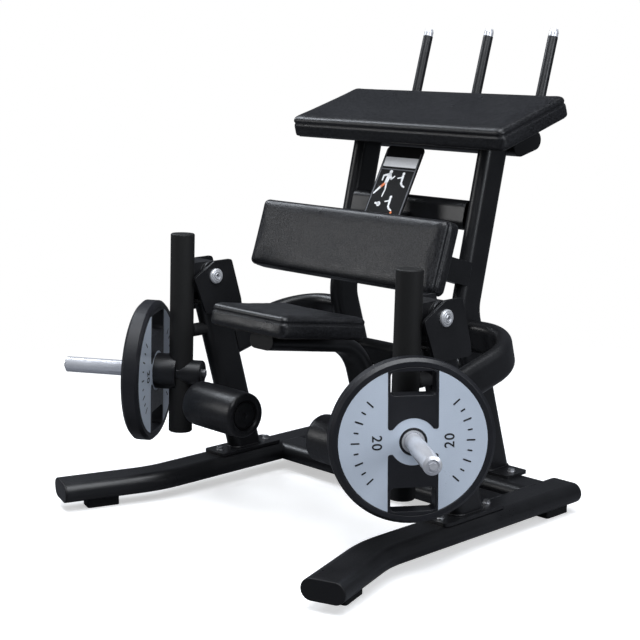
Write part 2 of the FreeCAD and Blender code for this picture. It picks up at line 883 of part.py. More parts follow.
def build_pads():
    """Knee, thigh and top cushions with their boards."""
    margin = D.board_margin
    # the knee cushion widens towards the back
    corners = [(-D.knee_front_half, 0), (D.knee_front_half, 0),
               (D.knee_back_half, D.knee_length), (-D.knee_back_half, D.knee_length)]
    inner = [(margin - D.knee_front_half, margin), (D.knee_front_half - margin, margin),
             (D.knee_back_half - margin, D.knee_length - margin),
             (margin - D.knee_back_half, D.knee_length - margin)]
    boards = [cushion("knee_pad", corners, inner, D.knee_thick, knee_pad_place())]

    # thigh cushion: local Y runs up the face, local Z out of the face towards the user
    up, back = tilted(D.thigh_tilt)
    origin = point(0, D.thigh_front, D.thigh_level) + back * float(D.thigh_thick)
    place = Placement(origin, Rotation(RIGHT, up, back * -1, "ZXY"))
    boards.append(cushion("thigh_pad", standing(D.thigh_half, D.thigh_tall),
                          standing(D.thigh_half, D.thigh_tall, margin), D.thigh_thick, place))

    # top cushion: local Y runs back and up along the pad, local Z out of its top
    run, out = top_pad_axes()
    origin = point(0, D.top_front, D.top_level) - out * float(D.top_thick)
    place = Placement(origin, Rotation(RIGHT, run, out, "ZXY"))
    boards.append(cushion("top_pad", standing(D.top_half, D.top_deep),
                          standing(D.top_half, D.top_deep, margin), D.top_thick, place))
    node("pad_boards", group("boards", boards))


def spine_stock(label, wall):
    """The bent tube under the knee pad, solid when it has no wall."""
    heading = Vector(0, 1, -float(D.spine_slope)).normalize()
    start = point(0, D.spine_start, D.spine_start_level)
    down = Vector(0, -float(D.spine_slope), -1)
    return bent_tube(label, D.spine_across, D.spine_wide, (D.spine_first_run, D.spine_last_run),
                     D.spine_turn, D.spine_bend, aim(start, heading, down), "y", wall)


def build_spine():
    """The knee pad's tube with the two blocks it carries the pad on.  Returns its end cap."""
    bar = oval_tube("spine_bar_fit", D.runner_tall, D.runner_wide, FIT,
                    aim(point(-FIT / 2, D.front_bar_station, D.runner_level), RIGHT, Vector(0, 1, 0)), "x")
    below = doc.addObject("Part::Box", "spine_floor_trim")
    bind(below, "Length", as_size(TRIM))
    bind(below, "Width", as_size(TRIM))
    bind(below, "Height", D.runner_level)
    below.Placement = Placement(point(-TRIM / 2, D.front_bar_station - TRIM / 2, 0), Rotation())
    pieces = [cut("spine_cut", spine_stock("spine_tube", D.tube_wall), [bar, below])]
    for index, reach in enumerate((D.mount_front, D.mount_rear)):
        block = doc.addObject("Part::Box", "knee_mount_%d" % index)
        bind(block, "Length", D.mount_width)
        bind(block, "Width", D.mount_length)
        bind(block, "Height", D.mount_tall)
        corner = Vector(-float(D.mount_width) / 2, float(reach), -float(D.mount_tall))
        block.Placement = knee_pad_place() * Placement(corner, Rotation())
        pieces.append(cut("knee_mount_cut_%d" % index, block,
                          [spine_stock("knee_mount_fit_%d" % index, None)]))
    node("knee_pad_tube", group("knee_support", pieces))
    seat = point(0, D.spine_start, D.spine_start_level)
    return oval_tube("spine_end", D.spine_across, D.spine_wide, D.end_cap_thick / 2,
                     aim(seat, Vector(0, -1, float(D.spine_slope)), UP), "y")


def build_carriers():
    """Tubes and brackets that hold the three pads and the pegs.  Returns the rack's end caps."""
    ends = [build_spine()]

    # thigh pad brackets
    up, back = tilted(D.thigh_tilt)
    brackets = []
    heading = Vector(0, 1, -float(D.stub_slope)).normalize()
    pad_back = point(0, D.thigh_front, D.thigh_level) + back * float(D.thigh_thick)
    for name, side in MIRROR:
        middle = point(side * D.mast_track.number, D.stub_station, D.stub_level)
        reach = (middle - pad_back).dot(back) / heading.dot(back)
        start = middle - heading * reach
        tube = rect_tube("stub_tube_" + name, D.stub_width, D.stub_tall, reach + float(D.stub_back_reach),
                         aim(start - heading * float(D.stub_lead), heading, RIGHT))
        plate = slab("stub_plate_" + name, centred(D.stub_plate_width / 2, D.stub_plate_tall / 2),
                     D.carrier_plate, aim(start, back, RIGHT), D.carrier_corner)
        bracket = join("stub_" + name, [tube, plate])
        brackets.append(cut("stub_cut_" + name, bracket,
                            [beyond("stub_trim_" + name, aim(start, back * -1, RIGHT)),
                             mast_envelope("stub_fit_" + name, side)]))
    node("thigh_pad_brackets", group("thigh_brackets", brackets))

    # flanges on the rear posts' heads, screwed to the top pad's board
    heads = []
    reach = D.head_bolt_pitch / 2
    holes = [(reach, 0, D.bolt_hole), (-reach, 0, D.bolt_hole)]
    for name, side in MIRROR:
        place = head_place(side)
        heads.append(slab("head_flange_" + name,
                          centred(D.head_flange_width / 2, D.head_flange_length / 2),
                          D.flange_thick, place, D.flange_corner, holes))
        for which in (-1, 1):
            seat = place.multVec(Vector(float(reach) * which, 0, 0))
            heads.append(hex_bolt("head_bolt_%s_%d" % (name, which), seat,
                                  place.Rotation.multVec(UP) * -1, D.flange_thick - 1))
    node("top_pad_flanges", group("head_flanges", heads))

    # cross beam between the rear posts, flush with their fronts
    station = mast_station(D.cross_level) - (float(D.mast_depth) - float(D.cross_across)) / 2
    length = (D.mast_track - D.mast_across / 2) * 2
    start = point(-length / 2, station, D.cross_level)
    node("rear_cross_beam", oval_tube("cross_beam", D.cross_across, D.cross_tall, length,
                                      aim(start, RIGHT, Vector(0, 1, -float(D.mast_upper_slope))),
                                      "y", D.tube_wall))

    # brace between the rear posts below their knees
    lean = float(D.mast_lower_slope)
    station = D.mast_knee_station.number + lean * (D.mast_knee_level.number - D.brace_level.number)
    start = point(-length / 2, station, D.brace_level)
    node("rear_brace", oval_tube("brace", D.cross_across, D.brace_tall, length,
                                 aim(start, RIGHT, Vector(0, 1, lean)), "y", D.tube_wall))

    # rack beam behind the rear posts, with its pegs
    across = Vector(0, 1, float(D.mast_upper_slope)).normalize()
    start = point(-D.rack_half, D.rack_station, D.rack_level)
    rack = oval_tube("rack_stock", D.rack_across, D.rack_deep, D.rack_half * 2,
                     aim(start, RIGHT, across), "x", D.tube_wall)
    fits = [mast_envelope("rack_fit_" + name, side) for name, side in MIRROR]
    node("peg_rack_beam", cut("rack_cut", rack, fits))
    for name, side in MIRROR:
        spot = point(side * D.rack_half.number, D.rack_station, D.rack_level)
        ends.append(oval_tube("rack_end_" + name, D.rack_across, D.rack_deep, D.end_cap_thick / 2,
                              aim(spot, Vector(side, 0, 0), across), "x"))

    lean = slope_up(D.peg_slope)
    pegs = []
    domes = []
    for index, x in enumerate((-D.peg_track, as_size(0), D.peg_track)):
        base = point(x, D.peg_station, D.peg_level)
        rod = grooved_bar("peg_rod_%d" % index, D.peg_radius, as_size(0), D.peg_foot, D.peg_length,
                          aim(base, lean, RIGHT))
        envelope = oval_tube("peg_fit_%d" % index, D.rack_across, D.rack_deep, D.rack_half * 2,
                             aim(start, RIGHT, across), "x")
        pegs.append(cut("peg_cut_%d" % index, rod, [envelope]))
        top = base + lean * float(D.peg_length)
        rim = D.peg_radius - D.peg_cap_step
        domes.append(turned("peg_cap_%d" % index,
                            [(0, 0), (rim, 0), (rim, D.peg_cap_tall * 0.6),
                             (rim - D.peg_cap_taper, D.peg_cap_tall), (0, D.peg_cap_tall)],
                            aim(top, lean, RIGHT)))
    node("storage_pegs", group("pegs", pegs))
    node("storage_peg_caps", group("peg_domes", domes))
    return ends


def build_chart():
    """The instruction plate and the bracket that carries it on the cross beam."""
    up, back = tilted(D.chart_tilt)
    top = point(0, D.chart_top_station, D.chart_top_level)
    origin = top - up * float(D.chart_tall)
    place = Placement(origin + back * float(D.chart_thick), Rotation(RIGHT, up, back * -1, "ZXY"))
    node("chart_plate", slab("chart_blank", standing(D.chart_half, D.chart_tall), D.chart_thick, place,
                             D.chart_corner))

    behind = origin + back * float(D.chart_thick) + up * float(D.backing_half_tall)
    pad_plate = slab("chart_backing", centred(D.chart_half - D.backing_margin, D.backing_half_tall),
                     D.backing_thick, aim(behind, back, RIGHT), D.backing_corner)
    beam_front = mast_station(D.cross_level) - float(D.mast_depth) / 2
    arm_length = beam_front - float(D.origin_station) - behind.y + float(D.chart_arm_overlap)
    arm = doc.addObject("Part::Box", "chart_arm")
    bind(arm, "Length", D.chart_arm_width)
    bind(arm, "Width", as_size(arm_length))
    bind(arm, "Height", D.chart_arm_thick)
    corner = Vector(-float(D.chart_arm_width) / 2, behind.y, behind.z - float(D.chart_arm_thick) / 2)
    arm.Placement = Placement(corner, Rotation())
    setback = (float(D.mast_depth) - float(D.cross_across)) / 2
    start = point(-FIT / 2, mast_station(D.cross_level) - setback, D.cross_level)
    beam_fit = oval_tube("chart_beam_fit", D.cross_across, D.cross_tall, FIT,
                         aim(start, RIGHT, Vector(0, 1, -float(D.mast_upper_slope))), "y")
    node("chart_bracket", cut("chart_bracket_cut", join("chart_bracket_raw", [pad_plate, arm]),
                              [beyond("chart_trim", aim(behind, back * -1, RIGHT)), beam_fit]))


# ---------------------------------------------------------------- pivots and levers

# corners of a clevis cheek seen from the machine's side, as station and height
CHEEK_OUTLINE = [(2, 697), (88, 744), (155, 744), (193, 612), (198, 574), (48, 578)]


def build_pivot(name, side):
    """The fixed clevis on top of a front post with its shaft and end discs."""
    x = side * D.half_track.number
    axis_point = point(x, D.pivot_station, D.pivot_level)
    cheeks = []
    outline = [(as_size(station), as_size(level)) for station, level in CHEEK_OUTLINE]
    for which in (-1, 1):
        inner_face = x + which * D.cheek_gap.number
        left_face = inner_face if which > 0 else inner_face - D.cheek_thick.number
        # local X runs back along the machine, local Y runs up and local Z towards +X
        place = Placement(point(left_face, 0, 0), Rotation(Vector(0, 1, 0), Vector(0, 0, 1), RIGHT, "ZXY"))
        cheeks.append(slab("cheek_%s_%d" % (name, which), outline, D.cheek_thick, place, D.cheek_corner))
    saddle = doc.addObject("Part::Box", "saddle_" + name)
    bind(saddle, "Length", D.cheek_gap * 2)
    bind(saddle, "Width", D.saddle_length)
    bind(saddle, "Height", D.saddle_tall)
    saddle.Placement = Placement(point(x - D.cheek_gap.number, D.saddle_start, D.post_top - D.saddle_drop),
                                 Rotation())
    clevis = join("clevis_" + name, cheeks + [saddle])
    bore = doc.addObject("Part::Cylinder", "clevis_bore_" + name)
    bind(bore, "Radius", D.pivot_shaft)
    bind(bore, "Height", D.pivot_shaft_half * 3)
    bore.Placement = aim(axis_point - RIGHT * D.pivot_shaft_half.number * 1.5, RIGHT, UP)
    node("pivot_clevis_" + name, cut("clevis_cut_" + name, clevis,
                                     [bore, post_stock("clevis_fit_" + name, side)]))

    shaft = turned("pivot_shaft_stock_" + name,
                   [(0, -D.pivot_shaft_half), (D.pivot_shaft, -D.pivot_shaft_half),
                    (D.pivot_shaft, D.pivot_shaft_half), (0, D.pivot_shaft_half)],
                   aim(axis_point, RIGHT, UP))
    discs = []
    washers = []
    for which in (-1, 1):
        outward = RIGHT * which
        seat = axis_point + outward * D.pivot_shaft_half.number
        blank = turned("pivot_disc_%s_%d" % (name, which),
                       [(0, 0), (D.pivot_disc, 0), (D.pivot_disc, D.pivot_disc_thick - D.disc_edge),
                        (D.pivot_disc - D.disc_edge, D.pivot_disc_thick), (0, D.pivot_disc_thick)],
                       aim(seat, outward, UP))
        socket = doc.addObject("Part::Prism", "pivot_socket_%s_%d" % (name, which))
        socket.Polygon = 6
        bind(socket, "Circumradius", D.socket_radius)
        bind(socket, "Height", D.socket_depth * 2)
        socket.Placement = aim(seat + outward * float(D.pivot_disc_thick - D.socket_depth), outward, UP)
        discs.append(cut("pivot_disc_cut_%s_%d" % (name, which), blank, [socket]))
        start = axis_point + outward * float(D.hub_half + D.thrust_play)
        washers.append(ring("thrust_%s_%d" % (name, which), D.pivot_shaft, D.thrust_outer,
                            D.cheek_gap - D.hub_half - D.thrust_play, aim(start, outward, UP)))
    return shaft, discs, washers


def lever_axis():
    """Bottom-to-top direction of a lever tube."""
    rise = float(D.lever_top_level) - float(D.lever_bottom_level)
    return Vector(0, -float(D.lever_bottom_station), rise).normalize()


def lever_envelope(label, side):
    """A solid bar of the lever tube's outside, longer at both ends."""
    extra = float(D.lever_radius) / 2
    bottom = point(side * D.half_track.number, D.lever_bottom_station, D.lever_bottom_level)
    item = doc.addObject("Part::Cylinder", label)
    bind(item, "Radius", D.lever_radius)
    bind(item, "Height", D.lever_top_level - D.lever_bottom_level + D.lever_radius)
    item.Placement = aim(bottom - lever_axis() * extra, lever_axis(), RIGHT)
    return item


def build_lever(name, side):
    """One swinging lever: tube, hubs, bearings, weight horn and roller axle."""
    x = side * D.half_track.number
    bottom = point(x, D.lever_bottom_station, D.lever_bottom_level)
    top = point(x, 0, D.lever_top_level)
    axis = lever_axis()
    length = (top - bottom).Length
    tube = ring("lever_" + name, D.lever_radius - D.tube_wall, D.lever_radius, length,
                aim(bottom, axis, RIGHT))
    node("lever_tube_" + name, tube)
    caps = []
    for end, (spot, outward) in enumerate(((top, axis), (bottom, axis * -1))):
        caps.append(turned("lever_cap_%s_%d" % (name, end),
                           [(0, 0), (D.lever_radius, 0), (D.lever_radius, D.lever_cap_thick - D.disc_edge),
                            (D.lever_radius - D.disc_edge, D.lever_cap_thick), (0, D.lever_cap_thick)],
                           aim(spot, outward, RIGHT)))

    # pivot hub with its web to the tube
    centre = point(x, D.pivot_station, D.pivot_level)
    barrel = doc.addObject("Part::Cylinder", "hub_barrel_" + name)
    bind(barrel, "Radius", D.hub_radius)
    bind(barrel, "Height", D.hub_half * 2)
    barrel.Placement = aim(centre - RIGHT * D.hub_half.number, RIGHT, UP)
    web = doc.addObject("Part::Box", "hub_web_" + name)
    bind(web, "Length", D.web_width)
    bind(web, "Width", D.pivot_station - lever_station(D.pivot_level))
    bind(web, "Height", D.web_half_tall * 2)
    web.Placement = Placement(point(x - D.web_width.number / 2, lever_station(D.pivot_level),
                                    D.pivot_level - D.web_half_tall), Rotation())
    bore = doc.addObject("Part::Cylinder", "hub_bore_" + name)
    bind(bore, "Radius", D.bearing_outer)
    bind(bore, "Height", D.hub_half * 4)
    bore.Placement = aim(centre - RIGHT * D.hub_half.number * 2, RIGHT, UP)
    node("pivot_hub_" + name, cut("pivot_hub_cut_" + name, join("pivot_hub_raw_" + name, [barrel, web]),
                                  [bore, lever_envelope("hub_fit_" + name, side)]))
    bearings = []
    for which in (-1, 1):
        start = centre + RIGHT * which * (D.hub_half.number - D.bearing_width.number)
        bearings.append(ring("bearing_%s_%d" % (name, which), D.pivot_shaft + D.running_gap,
                             D.bearing_outer, D.bearing_width, aim(start, RIGHT * which, UP)))
    node("pivot_bearings_" + name, group("bearings_" + name, bearings))

    # weight horn and the cross hub that carries it
    root = point(x, D.horn_station, D.horn_level)
    place = aim(root, horn_direction(side), UP)
    hub = turned("horn_hub_stock_" + name,
                 [(0, D.hub_back), (D.hub_inner - D.hub_edge, D.hub_back),
                  (D.hub_inner, D.hub_back + D.hub_edge), (D.hub_inner, D.hub_step),
                  (D.hub_outer, D.hub_step + D.hub_edge / 2), (D.hub_outer, D.hub_face),
                  (D.horn_radius, D.hub_face), (D.horn_radius, D.horn_root), (0, D.horn_root)], place)
    node("horn_hub_" + name, cut("horn_hub_cut_" + name, hub, [lever_envelope("horn_fit_" + name, side)]))
    node("weight_horn_" + name, grooved_bar("horn_" + name, D.horn_radius, D.horn_root,
                                            D.hub_face + D.plate_thick + 1, D.horn_end, place))
    tip = D.horn_end + D.horn_cap
    mouth = D.horn_radius - D.horn_cap_taper
    cap = turned("horn_cap_stock_" + name,
                 [(0, D.horn_end), (D.horn_radius, D.horn_end),
                  (D.horn_radius, D.horn_end + D.horn_cap_band), (mouth, tip - D.horn_cap_lip),
                  (mouth, tip - D.horn_cap_floor), (0, tip - D.horn_cap_floor)], place)
    screw = doc.addObject("Part::Prism", "horn_screw_" + name)
    screw.Polygon = 6
    bind(screw, "Circumradius", D.horn_screw)
    bind(screw, "Height", D.horn_cap_floor)
    screw.Placement = place * Placement(Vector(0, 0, float(tip - D.horn_cap_floor)), Rotation())
    node("horn_end_cap_" + name, join("horn_cap_" + name, [cap, screw]))
    back_bolt = doc.addObject("Part::Prism", "hub_back_screw_" + name)
    back_bolt.Polygon = 6
    bind(back_bolt, "Circumradius", D.back_screw)
    bind(back_bolt, "Height", D.back_screw_tall)
    back_bolt.Placement = place * Placement(Vector(0, 0, float(D.hub_back - D.back_screw_tall)), Rotation())

    # roller axle, square to the lever, welded to the tube
    inner = point(side * D.axle_tip.number, D.roller_station, D.roller_level)
    axle = turned("axle_stock_" + name,
                  [(0, 0), (D.axle_radius, 0), (D.axle_radius, D.half_track - D.axle_tip),
                   (0, D.half_track - D.axle_tip)],
                  aim(inner, RIGHT * side, UP))
    node("roller_axle_" + name, cut("axle_cut_" + name, axle, [lever_envelope("axle_fit_" + name, side)]))
    flange = D.axle_radius + D.keeper_flange
    keeper = turned("axle_keeper_" + name,
                    [(0, 0), (flange, 0), (flange, D.keeper_thick - D.keeper_edge),
                     (flange - D.keeper_edge, D.keeper_thick), (0, D.keeper_thick)],
                    aim(inner, RIGHT * -side, UP))
    return caps, [back_bolt, keeper]


def horn_direction(side):
    """Outward direction of a weight horn: swung towards the user and rising a little."""
    swing = math.radians(float(D.horn_swing))
    rise = math.radians(float(D.horn_rise))
    flat = math.cos(rise)
    return Vector(side * math.cos(swing) * flat, -math.sin(swing) * flat, math.sin(rise))


def build_roller(name, side):
    """A foam calf roller on its sleeve, free to turn on the axle."""
    inner = point(side * D.roller_inner_end.number, D.roller_station, D.roller_level)
    place = aim(inner, RIGHT * side, UP)
    length = D.roller_outer_end - D.roller_inner_end
    dish = D.roller_dish
    bore = D.axle_radius + D.running_gap
    sleeve_outer = D.axle_radius + D.sleeve_wall
    thick = D.roller_disc_thick + dish
    edge = D.roller_edge
    foam = turned("foam_" + name,
                  [(sleeve_outer, thick), (D.roller_disc, thick), (D.roller_disc, 0),
                   (D.roller_radius - edge, 0), (D.roller_radius, edge),
                   (D.roller_radius, length - edge), (D.roller_radius - edge, length),
                   (D.roller_disc, length), (D.roller_disc, length - thick),
                   (sleeve_outer, length - thick)], place)
    node("roller_foam_" + name, foam)
    node("roller_spool_" + name,
         turned("spool_" + name,
                [(bore, dish), (D.roller_disc, dish), (D.roller_disc, thick), (sleeve_outer, thick),
                 (sleeve_outer, length - thick), (D.roller_disc, length - thick),
                 (D.roller_disc, length - dish), (bore, length - dish)], place))


def build_weight(name, side):
    """A 20 kg plate with two grip windows and a steel centre sleeve."""
    root = point(side * D.half_track.number, D.horn_station, D.horn_level)
    direction = horn_direction(side)
    level = UP.cross(direction).normalize()
    up = direction.cross(level)
    origin = root + direction * float(D.hub_face)
    place = Placement(origin, Rotation(level, up, direction, "ZXY"))
    rim = D.plate_radius
    edge = D.plate_edge
    face = D.plate_face_radius
    recess = D.plate_recess
    thick = D.plate_thick
    blank = turned("plate_stock_" + name,
                   [(D.sleeve_outer, recess), (face, recess), (face + recess, 0), (rim - edge, 0),
                    (rim, edge), (rim, thick - edge), (rim - edge, thick), (face + recess, thick),
                    (face, thick - recess), (D.sleeve_outer, thick - recess)], place)
    windows = []
    for which in (-1, 1):
        window = new_body("window_%s_%d" % (name, which))
        sketch = new_sketch(window, "XY_Plane")
        low = D.window_low * which
        high = D.window_high * which
        draw_outline(sketch, [(-D.window_half_width, low), (D.window_half_width, low),
                              (D.window_half_width, high), (-D.window_half_width, high)])
        pad = add_pad(window, sketch, thick * 2)
        round_edges(window, pad, D.window_corner, upright_edge)
        window.Placement = place * Placement(Vector(0, 0, -float(thick) / 2), Rotation())
        windows.append(window)
    node("weight_plate_" + name, cut("plate_cut_" + name, blank, windows))
    node("plate_sleeve_" + name, ring("plate_bore_" + name, D.sleeve_bore, D.sleeve_outer, thick, place))


def build_bumper(name, side):
    """A rubber stop on the front post that the lever tube hangs against."""
    x = side * D.half_track.number
    contact = point(x, lever_station(D.bumper_level), D.bumper_level)
    forward = Vector(0, -1, 0)
    skew = lever_axis().z
    start = contact - forward * (D.lever_radius.number / skew + D.bumper_gap.number)
    rod = turned("bumper_stock_" + name,
                 [(0, 0), (D.bumper_radius - D.bumper_edge, 0), (D.bumper_radius, D.bumper_edge),
                  (D.bumper_radius, D.bumper_length), (0, D.bumper_length)],
                 aim(start, forward * -1, RIGHT))
    return cut("bumper_" + name, rod, [post_stock("bumper_fit_" + name, side)])


def build_levers():
    shafts = []
    discs = []
    washers = []
    bumpers = []
    for name, side in MIRROR:
        shaft, side_discs, side_washers = build_pivot(name, side)
        shafts.append(shaft)
        discs += side_discs
        washers += side_washers
        side_caps, side_screws = build_lever(name, side)
        node("lever_tube_caps_" + name, group("lever_caps_" + name, side_caps))
        node("lever_screws_" + name, group("lever_screw_set_" + name, side_screws))
        build_roller(name, side)
        build_weight(name, side)
        bumpers.append(build_bumper(name, side))
    node("pivot_shafts", group("shafts", shafts))
    node("pivot_end_discs", group("pivot_discs", discs))
    node("thrust_washers", group("thrusts", washers))
    node("stop_bumpers", group("bumpers", bumpers))


# ---------------------------------------------------------------- build, check and write

end_caps = build_base()
build_posts()
build_pads()
end_caps += build_carriers()
node("tube_end_caps", group("end_caps", end_caps))
build_chart()
build_levers()
doc.recompute()

for item in doc.Objects:
    if "Invalid" in item.State or "Error" in item.State:
        raise RuntimeError("%s did not build: %s" % (item.Label, item.State))
box = FreeCAD.BoundBox()
for item in NODES:
    shape = item.Shape
    if shape.isNull() or not shape.isValid() or not shape.Solids:
        raise RuntimeError("%s has no valid solid" % item.Label)
    box.add(shape.BoundBox)

os.makedirs("parts", exist_ok=True)
for item in NODES:
    item.Shape.exportStep(os.path.join("parts", item.Label + ".step"))
print("%d nodes" % len(NODES))
print("box", [round(v, 2) for v in (box.XMin, box.XMax, box.YMin, box.YMax, box.ZMin, box.ZMax)])
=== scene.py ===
import json
import math

import bmesh
import bpy
from mathutils import Matrix, Vector
from mathutils.bvhtree import BVHTree


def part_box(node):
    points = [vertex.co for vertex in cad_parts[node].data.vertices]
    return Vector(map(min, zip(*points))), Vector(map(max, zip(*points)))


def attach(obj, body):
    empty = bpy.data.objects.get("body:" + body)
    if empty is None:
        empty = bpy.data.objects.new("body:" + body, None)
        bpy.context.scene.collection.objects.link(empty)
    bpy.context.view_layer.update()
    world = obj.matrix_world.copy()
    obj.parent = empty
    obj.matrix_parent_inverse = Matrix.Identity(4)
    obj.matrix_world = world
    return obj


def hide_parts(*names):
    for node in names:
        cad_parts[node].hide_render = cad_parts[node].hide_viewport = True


# Looks of a plate-loaded kneeling leg curl machine, built round its CAD frame.  Metres, +Z up,
# and the user kneels facing +Y.

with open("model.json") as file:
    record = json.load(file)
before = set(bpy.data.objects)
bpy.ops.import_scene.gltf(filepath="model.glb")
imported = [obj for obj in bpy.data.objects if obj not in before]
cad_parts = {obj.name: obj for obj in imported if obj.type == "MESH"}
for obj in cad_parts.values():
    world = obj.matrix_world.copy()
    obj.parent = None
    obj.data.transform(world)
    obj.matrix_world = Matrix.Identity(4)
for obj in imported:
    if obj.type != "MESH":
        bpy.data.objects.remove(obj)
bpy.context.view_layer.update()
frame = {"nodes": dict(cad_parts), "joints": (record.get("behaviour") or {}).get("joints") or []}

MM = 0.001
RIGHT = Vector((1, 0, 0))
UP = Vector((0, 0, 1))
SIDES = ("left", "right")


# ---------------------------------------------------------------- materials

COLOUR_INPUTS = (6, 7)      # the colour sockets of a Mix node, which also has some for other types
COLOUR_OUTPUT = 2


class Nodes:
    """A material's node tree with short calls for the nodes used here."""

    def __init__(self, name):
        self.material = bpy.data.materials.new(name)
        self.material.use_nodes = True
        self.tree = self.material.node_tree
        self.shader = self.tree.nodes["Principled BSDF"]
        self.place = self.add("ShaderNodeTexCoord").outputs["Object"]

    def add(self, kind, **settings):
        made = self.tree.nodes.new(kind)
        for key, value in settings.items():
            setattr(made, key, value)
        return made

    def link(self, source, target):
        self.tree.links.new(source, target)

    def stretched(self, scale):
        mapping = self.add("ShaderNodeMapping")
        mapping.inputs["Scale"].default_value = scale
        self.link(self.place, mapping.inputs["Vector"])
        return mapping.outputs["Vector"]

    def noise(self, scale, detail=3.0, place=None):
        made = self.add("ShaderNodeTexNoise")
        made.inputs["Scale"].default_value = scale
        made.inputs["Detail"].default_value = detail
        self.link(place or self.place, made.inputs["Vector"])
        return made.outputs["Fac"]

    def cells(self, scale, feature="F1"):
        made = self.add("ShaderNodeTexVoronoi", feature=feature)
        made.inputs["Scale"].default_value = scale
        self.link(self.place, made.inputs["Vector"])
        return made.outputs["Distance"]

    def spread(self, value, low, high, out_low=0.0, out_high=1.0):
        """Stretch a value from low..high to out_low..out_high, clamped."""
        made = self.add("ShaderNodeMapRange")
        for key, number in zip(("From Min", "From Max", "To Min", "To Max"),
                               (low, high, out_low, out_high)):
            made.inputs[key].default_value = number
        self.link(value, made.inputs["Value"])
        return made.outputs["Result"]

    def math(self, operation, first, second):
        made = self.add("ShaderNodeMath", operation=operation)
        self.link(first, made.inputs[0])
        if isinstance(second, (int, float)):
            made.inputs[1].default_value = second
        else:
            self.link(second, made.inputs[1])
        return made.outputs["Value"]

    def mix(self, factor, first, second):
        """Blend two colours, each a triple or an output, by a factor."""
        made = self.add("ShaderNodeMix", data_type="RGBA")
        self.link(factor, made.inputs["Factor"])
        for key, colour in zip(COLOUR_INPUTS, (first, second)):
            if isinstance(colour, tuple):
                made.inputs[key].default_value = (*colour, 1)
            else:
                self.link(colour, made.inputs[key])
        return made.outputs[COLOUR_OUTPUT]

    def bump(self, height, distance, strength=1.0, under=None):
        made = self.add("ShaderNodeBump")
        made.inputs["Distance"].default_value = distance
        made.inputs["Strength"].default_value = strength
        self.link(height, made.inputs["Height"])
        if under is not None:
            self.link(under, made.inputs["Normal"])
        return made.outputs["Normal"]

    def soft_edge(self, radius):
        made = self.add("ShaderNodeBevel", samples=4)
        made.inputs["Radius"].default_value = radius
        return made.outputs["Normal"]

    def edge_mask(self, rounded):
        """1 where the surface is close to a sharp edge, 0 on the flat."""
        plain = self.add("ShaderNodeNewGeometry").outputs["Normal"]
        dot = self.add("ShaderNodeVectorMath", operation="DOT_PRODUCT")
        self.link(rounded, dot.inputs[0])
        self.link(plain, dot.inputs[1])
        return self.spread(dot.outputs["Value"], 0.995, 0.86)


def surface(name, dark, light, rough, grain, depth, metal=0.0, specular=0.5, coat=0.0, sheen=0.0,
            worn=None, edge=1.2 * MM, stretch=None, cells=False, broad=9.0):
    """A finish with speckle, broad variation, bump, uneven gloss and, if worn, paler edges."""
    n = Nodes(name)
    place = n.stretched(stretch) if stretch else n.place
    fine = n.cells(grain) if cells else n.noise(grain, 3, place)
    patch = n.noise(broad, 4)
    tone = n.math("ADD", n.spread(fine, 0.3, 0.7, 0, 0.7), n.spread(patch, 0.35, 0.65, 0, 0.3))
    colour = n.mix(tone, dark, light)
    gloss = n.math("ADD", n.spread(patch, 0.3, 0.7, rough[0], rough[1]),
                   n.spread(n.noise(grain * 0.31, 2), 0.3, 0.7, -0.04, 0.04))
    rounded = n.soft_edge(edge) if edge else None
    if worn:
        scuffs = n.spread(n.noise(55, 5), 0.45, 0.62)
        mask = n.math("MULTIPLY", n.edge_mask(rounded), scuffs)
        colour = n.mix(mask, colour, worn)
    n.link(colour, n.shader.inputs["Base Color"])
    n.link(gloss, n.shader.inputs["Roughness"])
    n.link(n.bump(fine, depth, 1.0, rounded), n.shader.inputs["Normal"])
    n.shader.inputs["Metallic"].default_value = metal
    n.shader.inputs["Specular IOR Level"].default_value = specular
    n.shader.inputs["Coat Weight"].default_value = coat
    n.shader.inputs["Coat Roughness"].default_value = 0.25
    n.shader.inputs["Sheen Weight"].default_value = sheen
    return n.material


def upholstery(name, dark, light, rough, grain, depth, sheen):
    """Pebbled leathercloth: rounded cells, shallow creases and a patchy sheen."""
    n = Nodes(name)
    pebbles = n.spread(n.cells(grain), 0.0, 0.65, 1.0, 0.0)
    speckle = n.noise(grain * 0.42, 4)
    creases = n.noise(38, 6)
    broad = n.noise(4.5, 3)
    tone = n.math("ADD", n.spread(speckle, 0.42, 0.6, 0, 0.85), n.spread(broad, 0.3, 0.7, 0, 0.15))
    n.link(n.mix(tone, dark, light), n.shader.inputs["Base Color"])
    gloss = n.math("ADD", n.spread(creases, 0.3, 0.7, rough[0], rough[1]),
                   n.spread(broad, 0.3, 0.7, -0.03, 0.05))
    n.link(gloss, n.shader.inputs["Roughness"])
    under = n.bump(creases, 0.35 * MM, 0.4)
    grainy = n.bump(speckle, depth * 2.2, 1.0, under)
    n.link(n.bump(pebbles, depth, 1.0, grainy), n.shader.inputs["Normal"])
    n.shader.inputs["Specular IOR Level"].default_value = 0.42
    n.shader.inputs["Sheen Weight"].default_value = sheen
    n.shader.inputs["Sheen Roughness"].default_value = 0.45
    n.shader.inputs["Sheen Tint"].default_value = (0.75, 0.8, 0.95, 1)
    return n.material


def wood(name):
    n = Nodes(name)
    rings = n.noise(30, 6, n.stretched((1.5, 14, 22)))
    pores = n.noise(700, 2, n.stretched((0.12, 1, 1)))
    n.link(n.mix(n.spread(rings, 0.35, 0.65), (0.012, 0.011, 0.010), (0.035, 0.030, 0.026)),
           n.shader.inputs["Base Color"])
    n.link(n.spread(pores, 0.3, 0.7, 0.55, 0.8), n.shader.inputs["Roughness"])
    n.link(n.bump(pores, 0.25 * MM, 0.8, n.soft_edge(1.5 * MM)), n.shader.inputs["Normal"])
    return n.material


